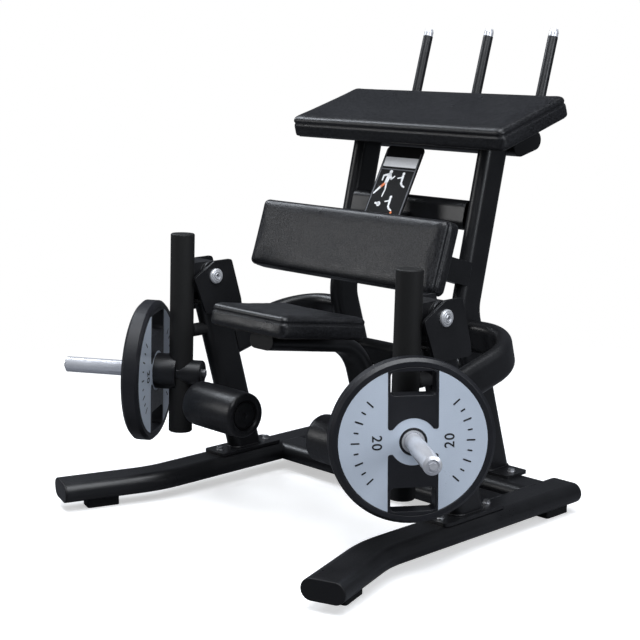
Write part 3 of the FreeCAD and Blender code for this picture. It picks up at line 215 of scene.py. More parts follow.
PAINT = surface("powder_coat", (0.0035, 0.0036, 0.0042), (0.0105, 0.0107, 0.0122), (0.3, 0.42), 620,
                0.11 * MM, specular=0.42, coat=0.12, worn=(0.05, 0.052, 0.056), edge=1.6 * MM)
LEVER_PAINT = surface("lever_coat", (0.008, 0.008, 0.008), (0.013, 0.013, 0.013), (0.55, 0.66), 800,
                      0.06 * MM, specular=0.25, worn=(0.04, 0.04, 0.04))
PLASTIC = surface("moulded_plastic", (0.004, 0.004, 0.0045), (0.009, 0.009, 0.0105), (0.42, 0.54), 1100,
                  0.05 * MM, specular=0.3, worn=(0.025, 0.025, 0.027))
RUBBER = surface("moulded_rubber", (0.010, 0.010, 0.011), (0.018, 0.018, 0.019), (0.6, 0.76), 420,
                 0.14 * MM, specular=0.3, worn=(0.035, 0.035, 0.037))
RIM = surface("urethane_rim", (0.0055, 0.0058, 0.0078), (0.0105, 0.011, 0.0145), (0.36, 0.5), 380,
              0.08 * MM, specular=0.45, coat=0.1, worn=(0.035, 0.036, 0.042), edge=2.0 * MM)
SILVER = surface("silver_lacquer", (0.56, 0.63, 0.72), (0.66, 0.73, 0.83), (0.3, 0.42), 900,
                 0.04 * MM, metal=0.1, coat=0.2, worn=(0.75, 0.8, 0.86), edge=0.5 * MM)
ZINC = surface("zinc_plating", (0.42, 0.42, 0.43), (0.66, 0.67, 0.69), (0.24, 0.38), 300, 0.05 * MM,
               metal=1.0, worn=(0.8, 0.8, 0.8), edge=0.6 * MM)
STEEL = surface("turned_steel", (0.58, 0.59, 0.61), (0.68, 0.69, 0.72), (0.26, 0.36), 260, 0.006 * MM,
                metal=0.45, edge=None)
CHROME = surface("hard_chrome", (0.66, 0.67, 0.71), (0.76, 0.77, 0.81), (0.16, 0.26), 160, 0.003 * MM,
                 metal=0.45, edge=None)
SHEET = surface("printed_sheet", (0.002, 0.002, 0.0022), (0.005, 0.005, 0.0055), (0.5, 0.6), 700,
                0.03 * MM, specular=0.12, worn=(0.07, 0.07, 0.08), edge=1.0 * MM)
PRINT_WHITE = surface("white_print", (0.72, 0.73, 0.74), (0.86, 0.86, 0.87), (0.35, 0.5), 500,
                      0.02 * MM, edge=None)
PRINT_ORANGE = surface("orange_print", (0.62, 0.13, 0.02), (0.8, 0.2, 0.04), (0.35, 0.5), 500,
                       0.02 * MM, edge=None)
PRINT_GREY = surface("grey_print", (0.05, 0.052, 0.06), (0.09, 0.094, 0.105), (0.35, 0.5), 500,
                     0.02 * MM, edge=None)
PRINT_BLACK = surface("black_print", (0.008, 0.008, 0.009), (0.014, 0.014, 0.016), (0.4, 0.5), 500,
                      0.02 * MM, edge=None)
THREAD = surface("sewing_thread", (0.010, 0.010, 0.012), (0.03, 0.03, 0.034), (0.5, 0.65), 2600,
                 0.05 * MM, edge=None, sheen=0.2)
LEATHER = upholstery("pebbled_leathercloth", (0.0018, 0.0019, 0.0023), (0.0175, 0.0180, 0.0205),
                     (0.28, 0.38), 520, 0.16 * MM, 0.0)
PIPING = upholstery("seam_piping", (0.007, 0.007, 0.008), (0.018, 0.0185, 0.021),
                    (0.34, 0.46), 700, 0.08 * MM, 0.05)
FOAM = upholstery("skinned_foam", (0.0035, 0.0035, 0.0042), (0.0095, 0.0098, 0.0112),
                  (0.3, 0.42), 340, 0.10 * MM, 0.03)
PLYWOOD = wood("black_backed_plywood")

NODE_MATERIALS = {
    "rubber_feet": RUBBER, "stop_bumpers": RUBBER, "tube_end_caps": PLASTIC, "flange_bolts": ZINC,
    "pad_boards": PLYWOOD, "storage_peg_caps": CHROME, "chart_plate": SHEET, "pivot_shafts": STEEL,
    "pivot_end_discs": STEEL, "thrust_washers": ZINC,
}
MOVING_MATERIALS = {
    "lever_tube": LEVER_PAINT, "lever_tube_caps": LEVER_PAINT, "lever_screws": ZINC,
    "pivot_bearings": STEEL, "weight_horn": CHROME, "horn_end_cap": CHROME, "roller_axle": STEEL,
    "roller_spool": PLASTIC, "weight_plate": RIM, "plate_sleeve": STEEL,
}
for node_name, shown in frame["nodes"].items():
    stem = node_name.rsplit("_", 1)[0]
    finish = NODE_MATERIALS.get(node_name) or MOVING_MATERIALS.get(stem) or PAINT
    if not shown.material_slots:
        shown.data.materials.append(finish)
    for material_slot in shown.material_slots:
        material_slot.material = finish


# ---------------------------------------------------------------- mesh tools

def new_object(name, mesh, material):
    made = bpy.data.objects.new(name, mesh)
    bpy.context.scene.collection.objects.link(made)
    mesh.materials.clear()
    mesh.materials.append(material)
    return made


def mesh_object(name, points, faces, material, smooth=True):
    mesh = bpy.data.meshes.new(name)
    mesh.from_pydata([tuple(p) for p in points], [], faces)
    tidy = bmesh.new()
    tidy.from_mesh(mesh)
    bmesh.ops.recalc_face_normals(tidy, faces=tidy.faces)
    tidy.to_mesh(mesh)
    tidy.free()
    for polygon in mesh.polygons:
        polygon.use_smooth = smooth
    return new_object(name, mesh, material)


def evaluated_mesh(item):
    graph = bpy.context.evaluated_depsgraph_get()
    return bpy.data.meshes.new_from_object(item.evaluated_get(graph))


def joined(name, pieces, material):
    """One object from several, with their transforms and modifiers applied."""
    whole = bmesh.new()
    for piece in pieces:
        bpy.context.view_layer.update()
        part = evaluated_mesh(piece)
        part.transform(piece.matrix_world)
        whole.from_mesh(part)
        bpy.data.objects.remove(piece)
    mesh = bpy.data.meshes.new(name)
    whole.to_mesh(mesh)
    whole.free()
    for polygon in mesh.polygons:
        polygon.material_index = 0
    return new_object(name, mesh, material)


def frame_of(origin, across, upward):
    """A matrix whose local X is across and local Y is upward."""
    outward = across.cross(upward).normalized()
    matrix = Matrix.Identity(4)
    for column, axis in enumerate((across.normalized(), upward.normalized(), outward)):
        for row in range(3):
            matrix[row][column] = axis[row]
    matrix.translation = origin
    return matrix


def flat_piece(name, loops, thick, bevel, place, material):
    """A thin plate with the outline and holes given as loops of local points."""
    curve = bpy.data.curves.new(name, "CURVE")
    curve.dimensions = "2D"
    curve.fill_mode = "BOTH"
    curve.extrude = thick / 2 - bevel
    curve.bevel_depth = bevel
    curve.bevel_resolution = 1
    for loop in loops:
        spline = curve.splines.new("POLY")
        spline.points.add(len(loop) - 1)
        for control, (x, y) in zip(spline.points, loop):
            control.co = (x, y, 0, 1)
        spline.use_cyclic_u = True
    item = bpy.data.objects.new(name, curve)
    bpy.context.scene.collection.objects.link(item)
    bpy.context.view_layer.update()
    mesh = evaluated_mesh(item)
    bpy.data.objects.remove(item)
    mesh.transform(place @ Matrix.Translation((0, 0, thick / 2)))
    return new_object(name, mesh, material)


def arc(radius, start, end, steps, centre=(0, 0)):
    """Points on an arc from start to end, in degrees."""
    points = []
    for index in range(steps + 1):
        angle = math.radians(start + (end - start) * index / steps)
        points.append((centre[0] + radius * math.cos(angle), centre[1] + radius * math.sin(angle)))
    return points


def rounded_box(left, low, right, high, radius, steps=5):
    corners = ((right - radius, high - radius, 0), (left + radius, high - radius, 90),
               (left + radius, low + radius, 180), (right - radius, low + radius, 270))
    points = []
    for x, y, start in corners:
        points += arc(radius, start, start + 90, steps, (x, y))
    return points


def capsule(start, end, radius_start, radius_end, steps=8):
    """Outline of a bar with round ends, thicker or thinner along its length."""
    heading = math.degrees(math.atan2(end[1] - start[1], end[0] - start[0]))
    return (arc(radius_end, heading - 90, heading + 90, steps, end)
            + arc(radius_start, heading + 90, heading + 270, steps, start))


RIPPLE_TURN = 1.9           # radians from one point of a rippled tube to the next


def tube_along(name, path, radius, material, closed=True, sides=8, wave=0.0):
    """A round tube along points; wave is the share by which its radius ripples."""
    count = len(path)
    points = []
    faces = []
    for index, here in enumerate(path):
        ahead = path[(index + 1) % count] if closed or index + 1 < count else here
        behind = path[index - 1] if closed or index else here
        along = (ahead - behind).normalized()
        reference = UP if abs(along.z) < 0.9 else RIGHT
        first = along.cross(reference).normalized()
        second = along.cross(first)
        size = radius * (1 + wave * math.sin(index * RIPPLE_TURN))
        for side in range(sides):
            angle = 2 * math.pi * side / sides
            points.append(here + (first * math.cos(angle) + second * math.sin(angle)) * size)
    rings = count if closed else count - 1
    for ring in range(rings):
        following = (ring + 1) % count
        for side in range(sides):
            beside = (side + 1) % sides
            faces.append((ring * sides + side, ring * sides + beside,
                          following * sides + beside, following * sides + side))
    if not closed:
        faces.append(tuple(range(sides)))
        faces.append(tuple((count - 1) * sides + side for side in range(sides)))
    return mesh_object(name, points, faces, material)


def lathe(name, profile, place, material, sides=64, closed=True):
    """Turn a profile of (radius, distance along local Z) about local Z."""
    points = []
    faces = []
    count = len(profile)
    for side in range(sides):
        angle = 2 * math.pi * side / sides
        for radius, along in profile:
            points.append(place @ Vector((radius * math.cos(angle), radius * math.sin(angle), along)))
    for side in range(sides):
        following = (side + 1) % sides
        for index in range(count if closed else count - 1):
            nearby = (index + 1) % count
            faces.append((side * count + index, side * count + nearby,
                          following * count + nearby, following * count + index))
    return mesh_object(name, points, faces, material)


SQUARE_ACROSS = 0.02        # a face that leans less than this to the side is square to X
LOOKS_UP = 0.05


def main_face(node):
    """Outward direction of a slab-like node's biggest face that looks upward."""
    totals = {}
    for polygon in frame["nodes"][node].data.polygons:
        normal = polygon.normal
        if abs(normal.x) < SQUARE_ACROSS and normal.z > LOOKS_UP:
            key = (round(normal.y, 2), round(normal.z, 2))
            area, total = totals.get(key, (0.0, Vector((0, 0, 0))))
            totals[key] = (area + polygon.area, total + normal * polygon.area)
    return max(totals.values(), key=lambda entry: entry[0])[1].normalized()


def slab_frame(node):
    """Matrix centred in a slab-like node with local Z out of its face, and the slab's half sizes."""
    outward = main_face(node)
    upward = outward.cross(RIGHT).normalized()
    turn = frame_of(Vector((0, 0, 0)), RIGHT, upward)
    local = [turn.inverted() @ v.co for v in frame["nodes"][node].data.vertices]
    low = Vector([min(p[i] for p in local) for i in range(3)])
    high = Vector([max(p[i] for p in local) for i in range(3)])
    return turn @ Matrix.Translation((low + high) / 2), (high - low) / 2


def hull(points):
    """Convex outline of 2D points, anticlockwise."""
    ordered = sorted(set((round(x, 6), round(y, 6)) for x, y in points))

    def half(sequence):
        chain = []
        for p in sequence:
            while len(chain) > 1:
                (ax, ay), (bx, by) = chain[-2], chain[-1]
                if (bx - ax) * (p[1] - ay) - (by - ay) * (p[0] - ax) > 1e-10:
                    break
                chain.pop()
            chain.append(p)
        return chain[:-1]

    return half(ordered) + half(reversed(ordered))


def resampled(loop, pitch):
    """Evenly spaced points round a closed loop, each with its outward direction."""
    lengths = []
    for index, (x, y) in enumerate(loop):
        nx, ny = loop[(index + 1) % len(loop)]
        lengths.append(math.hypot(nx - x, ny - y))
    total = sum(lengths)
    count = max(8, round(total / pitch))
    points = []
    index = 0
    passed = 0.0
    for step in range(count):
        target = total * step / count
        while passed + lengths[index] < target:
            passed += lengths[index]
            index += 1
        share = (target - passed) / lengths[index]
        (x, y), (nx, ny) = loop[index], loop[(index + 1) % len(loop)]
        points.append((x + (nx - x) * share, y + (ny - y) * share))
    result = []
    for step, (x, y) in enumerate(points):
        bx, by = points[step - 1]
        ax, ay = points[(step + 1) % count]
        length = math.hypot(ax - bx, ay - by)
        result.append((x, y, (ay - by) / length, -(ax - bx) / length))
    return result


# ---------------------------------------------------------------- cushions

SHRINK = 1.6 * MM           # the cushion starts this much inside its solid and then swells
SWELL_CAP = 5.0 * MM        # the most of a point's free swelling that counts
SWELL_SHARE = 0.42          # a tight cover over firm foam takes this share of it
BOARD_GRIP = 3.0 * MM       # the cover this near its back is held by the board
SIM_FRAMES = 20
SEAM_DEPTH = 3.6 * MM
SEAM_SPREAD = 4.2 * MM
SEAM_REACH = 26 * MM        # the seam's channel takes in the cover this near the sides
LEAST_PULL = 0.01 * MM
SIDEWAYS = 0.5              # a surface whose normal is at least this level counts as a side
SIDE_SEARCH = 40 * MM       # the cover's side is looked for from this far outside its outline
PIPING_RADIUS = 1.3 * MM
PIPING_SINK = 0.9 * MM
PIPING_PITCH = 6.0 * MM
STITCH_PITCH = 3.4 * MM
STITCH_DROP = 5.5 * MM      # the row of stitches runs this far below the seam
STITCH_LIFT = 0.15 * MM
STITCH_RINGS = ((-1.9 * MM, 0.2 * MM), (-1.2 * MM, 0.5 * MM), (1.2 * MM, 0.5 * MM), (1.9 * MM, 0.2 * MM))


def slab_points(node, place):
    """The node's points in the slab's own frame."""
    inward = place.inverted()
    return [inward @ vertex.co for vertex in frame["nodes"][node].data.vertices]


def cover_start(node, place, half):
    """The cushion's solid with its board pocket closed, drawn in by SHRINK."""
    whole = bmesh.new()
    for point in slab_points(node, place):
        whole.verts.new(point)
    bmesh.ops.convex_hull(whole, input=whole.verts)
    loose = [vertex for vertex in whole.verts if not vertex.link_faces]
    bmesh.ops.delete(whole, geom=loose, context="VERTS")
    mesh = bpy.data.meshes.new(node + "_start")
    whole.to_mesh(mesh)
    whole.free()
    mesh.transform(Matrix.Diagonal([1 - SHRINK / size for size in half] + [1]))
    return mesh


def swell(item, half):
    """Blow a closed cushion up with cloth pressure, its back held by the board."""
    rest = [v.co.copy() for v in item.data.vertices]
    held = item.vertex_groups.new(name="board_side")
    back = [v.index for v in item.data.vertices if v.co.z < -half.z + SHRINK + BOARD_GRIP]
    held.add(back, 1.0, "REPLACE")
    cloth = item.modifiers.new("swell", "CLOTH")
    settings = cloth.settings
    settings.quality = 4
    settings.mass = 0.4
    settings.tension_stiffness = 18
    settings.compression_stiffness = 18
    settings.shear_stiffness = 12
    settings.bending_stiffness = 2.5
    settings.use_pressure = True
    settings.uniform_pressure_force = 4
    settings.effector_weights.gravity = 0
    settings.vertex_group_mass = held.name
    cloth.point_cache.frame_start = 1
    cloth.point_cache.frame_end = SIM_FRAMES
    for step in range(1, SIM_FRAMES + 1):
        bpy.context.scene.frame_set(step)
    grown = evaluated_mesh(item)
    item.modifiers.remove(cloth)
    for vertex, start, end in zip(item.data.vertices, rest, grown.vertices):
        moved = end.co - start
        if moved.length > SWELL_CAP:
            moved *= SWELL_CAP / moved.length
        vertex.co = start + moved * SWELL_SHARE
    bpy.context.scene.frame_set(1)


def smoothing(item, times):
    """Even out the item's surface by a modifier that runs a number of times."""
    modifier = item.modifiers.new("smoothing", "SMOOTH")
    modifier.iterations = times
    modifier.factor = 0.5


def swollen_cover(node, place, half, voxel):
    """The cushion's cover: evenly remeshed, swollen, relaxed and subdivided once."""
    cover = new_object(node + "_cover", cover_start(node, place, half), LEATHER)
    remesh = cover.modifiers.new("even", "REMESH")
    remesh.mode = "VOXEL"
    remesh.voxel_size = voxel
    smoothing(cover, 3)
    even = evaluated_mesh(cover)
    cover.modifiers.clear()
    cover.data = even
    even.materials.clear()
    even.materials.append(LEATHER)
    swell(cover, half)
    smoothing(cover, 5)
    refine = cover.modifiers.new("refine", "SUBSURF")
    refine.levels = refine.render_levels = 1
    fine = evaluated_mesh(cover)
    cover.modifiers.clear()
    cover.vertex_groups.clear()
    cover.data = fine
    return cover


def press_seam(mesh, half, seam_level):
    """Pull the cover's sides in along a soft channel at the seam's level."""
    for vertex in mesh.vertices:
        level = vertex.co.z - seam_level
        pull = SEAM_DEPTH * math.exp(-(level / SEAM_SPREAD) ** 2)
        near_x = abs(vertex.co.x) > half.x - SEAM_REACH
        near_y = abs(vertex.co.y) > half.y - SEAM_REACH
        if pull > LEAST_PULL and (near_x or near_y):
            normal = Vector((vertex.normal.x, vertex.normal.y, 0))
            if normal.length > SIDEWAYS:
                vertex.co -= normal.normalized() * pull
    for polygon in mesh.polygons:
        polygon.use_smooth = True
    mesh.update()


def side_point(tree, spot, level, lift):
    """The point on the cover's side at an outline spot and a level, lifted outward."""
    x, y, nx, ny = spot
    outward = Vector((nx, ny, 0))
    start = Vector((x, y, level)) + outward * SIDE_SEARCH
    hit = tree.ray_cast(start, -outward, 2.5 * SIDE_SEARCH)[0]
    return (hit or Vector((x, y, level))) + outward * lift


def stitching(name, tree, outline, level, place):
    """A row of short stitches round the cover, each a bar of four rings with thin ends."""
    points = []
    faces = []
    for spot in resampled(outline, STITCH_PITCH)[::2]:
        outward = Vector((spot[2], spot[3], 0))
        along = Vector((-spot[3], spot[2], 0))
        centre = side_point(tree, spot, level, STITCH_LIFT)
        first = len(points)
        for reach, girth in STITCH_RINGS:
            for out, rise in ((girth, 0), (0, girth), (-girth, 0), (0, -girth)):
                points.append(place @ (centre + along * reach + outward * out + UP * rise))
        for ring in range(len(STITCH_RINGS) - 1):
            start = first + ring * 4
            for side in range(4):
                beside = (side + 1) % 4
                faces.append((start + side, start + beside, start + 4 + beside, start + 4 + side))
        faces.append((first, first + 1, first + 2, first + 3))
        faces.append((first + 12, first + 13, first + 14, first + 15))
    return mesh_object(name, points, faces, THREAD)


def cushion(node, voxel, seam_drop):
    """A crowned cushion with a sewn seam round its sides, in the space of its CAD solid."""
    place, half = slab_frame(node)
    outline = hull([(point.x, point.y) for point in slab_points(node, place)])
    seam_level = half.z - seam_drop
    cover = swollen_cover(node, place, half, voxel)
    mesh = cover.data
    press_seam(mesh, half, seam_level)
    tree = BVHTree.FromPolygons([v.co for v in mesh.vertices], [p.vertices for p in mesh.polygons])
    path = [place @ side_point(tree, spot, seam_level, -PIPING_SINK)
            for spot in resampled(outline, PIPING_PITCH)]
    piping = tube_along(node + "_piping", path, PIPING_RADIUS, PIPING)
    thread = stitching(node + "_stitching", tree, outline, seam_level - STITCH_DROP, place)

    mesh.transform(place)
    mesh.update()
    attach(cover, "frame")
    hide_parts(node)
    for extra in (piping, thread):
        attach(extra, "frame")


cushion("knee_pad", 5.5 * MM, 22 * MM)
cushion("thigh_pad", 6 * MM, 24 * MM)
cushion("top_pad", 6 * MM, 24 * MM)


# ---------------------------------------------------------------- rollers

DISC_RADIUS = 46.4 * MM     # radius of the opening at each end of the foam
DISH = 14 * MM              # the openings are this deep
LIP_LENGTH = 14 * MM        # the ends are rounded over this length
SKIN_SLACK = 0.2 * MM
BELLY = 1.1 * MM
UNEVENNESS = 0.18 * MM
BORE_STEP = 20 * MM         # the bore is this much smaller in radius than the end openings
BODY_STEPS = 22
DOME_PROFILE = [(0.05, 6.1), (20.5, 6.1), (21.5, 0.0), (41, 0.0), (42.5, 0.8), (41.8, 2.4),
                (37, 4.4), (30, 6.1), (20, 7.5), (0.05, 8.2)]       # radius and height, in mm
PIP_PROFILE = [(0.4, 0), (3.2, 0), (3.0, 1.2), (2.2, 1.5), (0.4, 1.5)]
PIP_RING = 31 * MM
PIP_LEVEL = 5.2 * MM


def in_metres(profile):
    return [(radius * MM, along * MM) for radius, along in profile]


def foam_profile(radius, half):
    """Closed outline of the foam's wall, as (radius, distance along the roller)."""
    lip = [(DISC_RADIUS, -half + DISH), (DISC_RADIUS + 0.6 * MM, -half + 6 * MM),
           (DISC_RADIUS + 3 * MM, -half + 2.2 * MM), (DISC_RADIUS + 7 * MM, -half + 0.4 * MM),
           (DISC_RADIUS + 11 * MM, -half + 0.2 * MM), (radius - 8 * MM, -half + 1.2 * MM),
           (radius - 3.6 * MM, -half + 4 * MM), (radius - 1.1 * MM, -half + 8.5 * MM),
           (radius - SKIN_SLACK, -half + LIP_LENGTH)]
    body = []
    for step in range(1, BODY_STEPS):
        along = -half + LIP_LENGTH + 2 * (half - LIP_LENGTH) * step / BODY_STEPS
        swelling = BELLY * (1 - (along / half) ** 2) + UNEVENNESS * math.sin(step * 2.4)
        body.append((radius - SKIN_SLACK + swelling, along))
    far_lip = [(r, -along) for r, along in reversed(lip)]
    bore = [(DISC_RADIUS - BORE_STEP, half - DISH), (DISC_RADIUS - BORE_STEP, -half + DISH)]
    return lip + body + far_lip + bore


def roller(side):
    """A skinned foam roller: soft lips, open ends and a faint belly."""
    low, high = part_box("roller_foam_" + side)
    half = (high.x - low.x) / 2
    centre = (low + high) / 2
    place = frame_of(centre, Vector((0, 1, 0)), UP)
    profile = foam_profile((high.z - low.z) / 2, half)
    skin = lathe("roller_skin_" + side, profile, place, FOAM, 72)
    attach(skin, "roller_" + side)
    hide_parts("roller_foam_" + side)
    # a domed disc at each end, with three pips so that its turning shows
    discs = []
    for sign in (-1, 1):
        inner = frame_of(centre + RIGHT * sign * (half - 10 * MM), Vector((0, sign, 0)), UP)
        discs.append(lathe("hub_dome", in_metres(DOME_PROFILE), inner, PLASTIC, 48))
        for turn in range(3):
            angle = math.radians(120 * turn + 30)
            spot = (PIP_RING * math.cos(angle), PIP_RING * math.sin(angle), PIP_LEVEL)
            discs.append(lathe("hub_pip", in_metres(PIP_PROFILE), inner @ Matrix.Translation(spot),
                               PLASTIC, 12))
    domes = joined("roller_discs_" + side, discs, PLASTIC)
    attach(domes, "roller_" + side)


# ---------------------------------------------------------------- weight plates

FACE_RADIUS = 201.2 * MM
BAND_HALF = 68.5 * MM
BRIDGE_HALF = 33 * MM
RING_OUTER = 64 * MM
RING_INNER = 38.5 * MM
EAR = 7 * MM                # rounding of the corners where a field meets a bridge
FACE_RECESS = 2 * MM        # the faces lie this deep in the plate's rim
BAND_GAP = 0.6 * MM
WINDOW_HALF = 62 * MM
WINDOW_REACH = (124 * MM, 191 * MM)
WINDOW_CORNER = 12 * MM
COLLAR_PROFILE = [(32, 0), (37.6, 0), (37.6, 0.9), (36.6, 1.5), (33, 1.5), (32, 0.9)]
MARK_LIFT = 1.35 * MM
NUMBER_SIZE = 38 * MM
NUMBER_REACH = 99 * MM
TICK_STEP = 10.5            # degrees
TICKS_EACH_WAY = 4
LONG_TICK = (146 * MM, 166 * MM)
SHORT_TICK = (151 * MM, 161 * MM)
TICK_HALF = 2 * MM


def silver_outline():
    """The two silver fields, joined by bridges to the ring round the bore."""
    side_angle = math.degrees(math.acos(BAND_HALF / FACE_RADIUS))
    ring_angle = math.degrees(math.asin(BRIDGE_HALF / RING_OUTER))
    right = arc(FACE_RADIUS, -side_angle, side_angle, 40)
    ear_x = BAND_HALF - EAR
    ear_y = BRIDGE_HALF + EAR
    top_right_ear = arc(EAR, 0, -90, 5, (ear_x, ear_y))
    ring_top = arc(RING_OUTER, ring_angle, 180 - ring_angle, 30)
    top_left_ear = arc(EAR, -90, -180, 5, (-ear_x, ear_y))
    left = arc(FACE_RADIUS, 180 - side_angle, 180 + side_angle, 40)
    bottom_left_ear = [(x, -y) for x, y in reversed(top_left_ear)]
    ring_bottom = arc(RING_OUTER, 180 + ring_angle, 360 - ring_angle, 30)
    bottom_right_ear = [(x, -y) for x, y in reversed(top_right_ear)]
    return (right + top_right_ear + ring_top + top_left_ear + left
            + bottom_left_ear + ring_bottom + bottom_right_ear)


def band_outline(sign, gap):
    """One end of the black band between the silver fields."""
    half = BAND_HALF - gap
    side_angle = math.degrees(math.acos(half / FACE_RADIUS))
    ring = RING_OUTER + gap
    ring_angle = math.degrees(math.asin(BRIDGE_HALF / ring))
    ear = EAR - gap
    points = arc(FACE_RADIUS, side_angle, 180 - side_angle, 24)
    points += arc(ear, 180, 270, 5, (-half + ear, BRIDGE_HALF + EAR))
    points += list(reversed(arc(ring, ring_angle + 4, 176 - ring_angle, 24)))
    points += arc(ear, 270, 360, 5, (half - ear, BRIDGE_HALF + EAR))
    return [(x, y * sign) for x, y in points]


def digits(text, size, place, material):
    font = bpy.data.curves.new("digits", "FONT")
    font.body = text
    font.size = size
    font.align_x = "CENTER"
    font.align_y = "CENTER"
    font.extrude = 0.25 * MM
    font.offset = 0.5 * MM
    font.space_character = 1.15
    item = bpy.data.objects.new("digits", font)
    bpy.context.scene.collection.objects.link(item)
    bpy.context.view_layer.update()
    mesh = evaluated_mesh(item)
    bpy.data.objects.remove(item)
    mesh.transform(place)
    return new_object("digits", mesh, material)


def plate_marks(place):
    """The number 20 on both sides of the bore, with an arc of ticks outside each."""
    lifted = place @ Matrix.Translation((0, 0, MARK_LIFT))
    marks = []
    for turn in (-1, 1):
        quarter = Matrix.Rotation(math.radians(90) * turn, 4, "Z")
        spot = Matrix.Translation((turn * NUMBER_REACH, 0, 0)) @ quarter
        marks.append(digits("20", NUMBER_SIZE, lifted @ spot, PRINT_BLACK))
        for tick in range(-TICKS_EACH_WAY, TICKS_EACH_WAY + 1):
            angle = math.radians(tick * TICK_STEP + (0 if turn > 0 else 180))
            inner, outer = [(math.cos(angle) * reach, math.sin(angle) * reach)
                            for reach in (LONG_TICK if tick % 2 == 0 else SHORT_TICK)]
            bar = capsule(inner, outer, TICK_HALF, TICK_HALF, 4)
            marks.append(flat_piece("tick", [bar], 0.5 * MM, 0.1 * MM, lifted, PRINT_BLACK))
    return marks


def plate_faces(side):
    """Silver fields, black bands, collar and marks on both faces of a weight plate."""
    joint = next(j for j in frame["joints"] if j["name"] == "plate_%s_slide" % side)
    outward = Vector(joint["axis"]).normalized()
    sleeve = "plate_sleeve_" + side
    low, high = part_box(sleeve)
    along = [vertex.co.dot(outward) for vertex in frame["nodes"][sleeve].data.vertices]
    thick = max(along) - min(along)
    fields = []
    bands = []
    marks = []
    for sign in (1, -1):
        normal = outward * sign
        level = UP.cross(normal).normalized()
        face = (low + high) / 2 + normal * (thick / 2 - FACE_RECESS)
        place = frame_of(face, level, normal.cross(level))
        hole = arc(RING_INNER, 0, -350, 36)
        fields.append(flat_piece("field", [silver_outline(), hole], 1.3 * MM, 0.25 * MM, place, SILVER))
        for end in (1, -1):
            window = rounded_box(-WINDOW_HALF, WINDOW_REACH[0], WINDOW_HALF, WINDOW_REACH[1], WINDOW_CORNER)
            window = [(x, y * end) for x, y in window]
            bands.append(flat_piece("band", [band_outline(end, BAND_GAP), window], 2.2 * MM, 0.5 * MM,
                                    place, RIM))
        # a narrow black collar between the ring and the sleeve
        bands.append(lathe("collar", in_metres(COLLAR_PROFILE), place, RIM, 48))
        marks += plate_marks(place)
    for name, pieces, material in (("plate_fields_", fields, SILVER), ("plate_bands_", bands, RIM),
                                   ("plate_marks_", marks, PRINT_BLACK)):
        piece = joined(name + side, pieces, material)
        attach(piece, "plate_" + side)


# ---------------------------------------------------------------- chart

PRINT_THICK = 0.5 * MM
PRINT_BEVEL = 0.08 * MM
RULE_BEVEL = 0.1 * MM


def chart():
    """A blank header strip and a generic exercise pictogram on the instruction plate."""
    place, half = slab_frame("chart_plate")
    place = place @ Matrix.Translation((0, 0, half.z))

    def bar(start, end, radius_start, radius_end, material=PRINT_WHITE):
        outline = capsule([value * MM for value in start], [value * MM for value in end],
                          radius_start * MM, radius_end * MM)
        return flat_piece("mark", [outline], PRINT_THICK, PRINT_BEVEL, place, material)

    def dot(x, y, radius, material=PRINT_WHITE):
        outline = arc(radius * MM, 0, 345, 23, (x * MM, y * MM))
        return flat_piece("mark", [outline], PRINT_THICK, PRINT_BEVEL, place, material)

    header = flat_piece("header", [rounded_box(-69 * MM, 59 * MM, 69 * MM, 91 * MM, 2 * MM)],
                        PRINT_THICK, RULE_BEVEL, place, PRINT_WHITE)
    # one large figure with its head, trunk, arms and legs, in millimetres on the plate
    figures = [dot(-25, 41, 6.5), bar((-27, 30), (-31, 6), 8.5, 6.5),
               bar((-30, 33), (-50, 27), 3.6, 3.0), bar((-50, 27), (-50, 12), 3.0, 2.4),
               bar((-24, 32), (-14, 17), 3.4, 2.8), bar((-14, 17), (-4, 27), 2.8, 2.0),
               bar((-47, -11), (-66, -34), 4.4, 2.6), bar((-29, 4), (-24, -18), 3.4, 2.6),
               bar((-24, -18), (-27, -42), 2.6, 2.0)]
    # two small figures, placed by their heads
    for x, y in ((30, 38), (12, -42)):
        figures += [dot(x, y, 5.0), bar((x, y - 8), (x + 2, y - 25), 4.6, 3.4),
                    bar((x - 1, y - 12), (x - 18, y - 16), 2.4, 2.0),
                    bar((x + 2, y - 30), (x + 8, y - 38), 3.8, 3.0),
                    bar((x + 8, y - 38), (x + 19, y - 43), 3.0, 2.4)]
    figures += [dot(-30, -68, 8.0), bar((-30, -68), (-44, -66), 4.6, 3.2)]
    accents = [bar((-33, 2), (-46, -10), 5, 4.2, PRINT_ORANGE), dot(34, -92, 4, PRINT_ORANGE)]
    rules = [flat_piece("rule", [rounded_box(-69 * MM, 48.5 * MM, 69 * MM, 52 * MM, 0.8 * MM)],
                        PRINT_THICK, RULE_BEVEL, place, PRINT_GREY)]
    for sign in (-1, 1):
        outline = rounded_box(70 * MM, -108 * MM, 74.2 * MM, 108 * MM, 1.2 * MM)
        rules.append(flat_piece("rule", [[(x * sign, y) for x, y in outline]],
                                0.8 * MM, 0.2 * MM, place, PRINT_GREY))
    for name, pieces, material in (("chart_header", [header], PRINT_WHITE),
                                   ("chart_figures", figures, PRINT_WHITE),
                                   ("chart_accents", accents, PRINT_ORANGE),
                                   ("chart_rules", rules, PRINT_GREY)):
        piece = joined(name, pieces, material)
        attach(piece, "frame")


# ---------------------------------------------------------------- welds and screws

WELD_RADIUS = 2.6 * MM
WELD_PITCH = 2.6 * MM
WELD_LEVEL = 1.6 * MM       # the bead's centre is this far above the post's foot
WELD_OUT = 1.0 * MM         # and this far outside its wall
FOOT_BAND = 1.5 * MM        # points this near the foot give the post's outline there
WASHER_PROFILE = [(10.5, -0.4), (17.5, -0.4), (17.0, 1.1), (15.5, 1.6), (12.5, 1.6), (11.0, 0.9)]
SCREW_PROFILE = [(6.4, -0.4), (9.6, -0.4), (9.4, 2.2), (8.6, 2.9), (7.0, 2.9), (6.4, 2.2)]


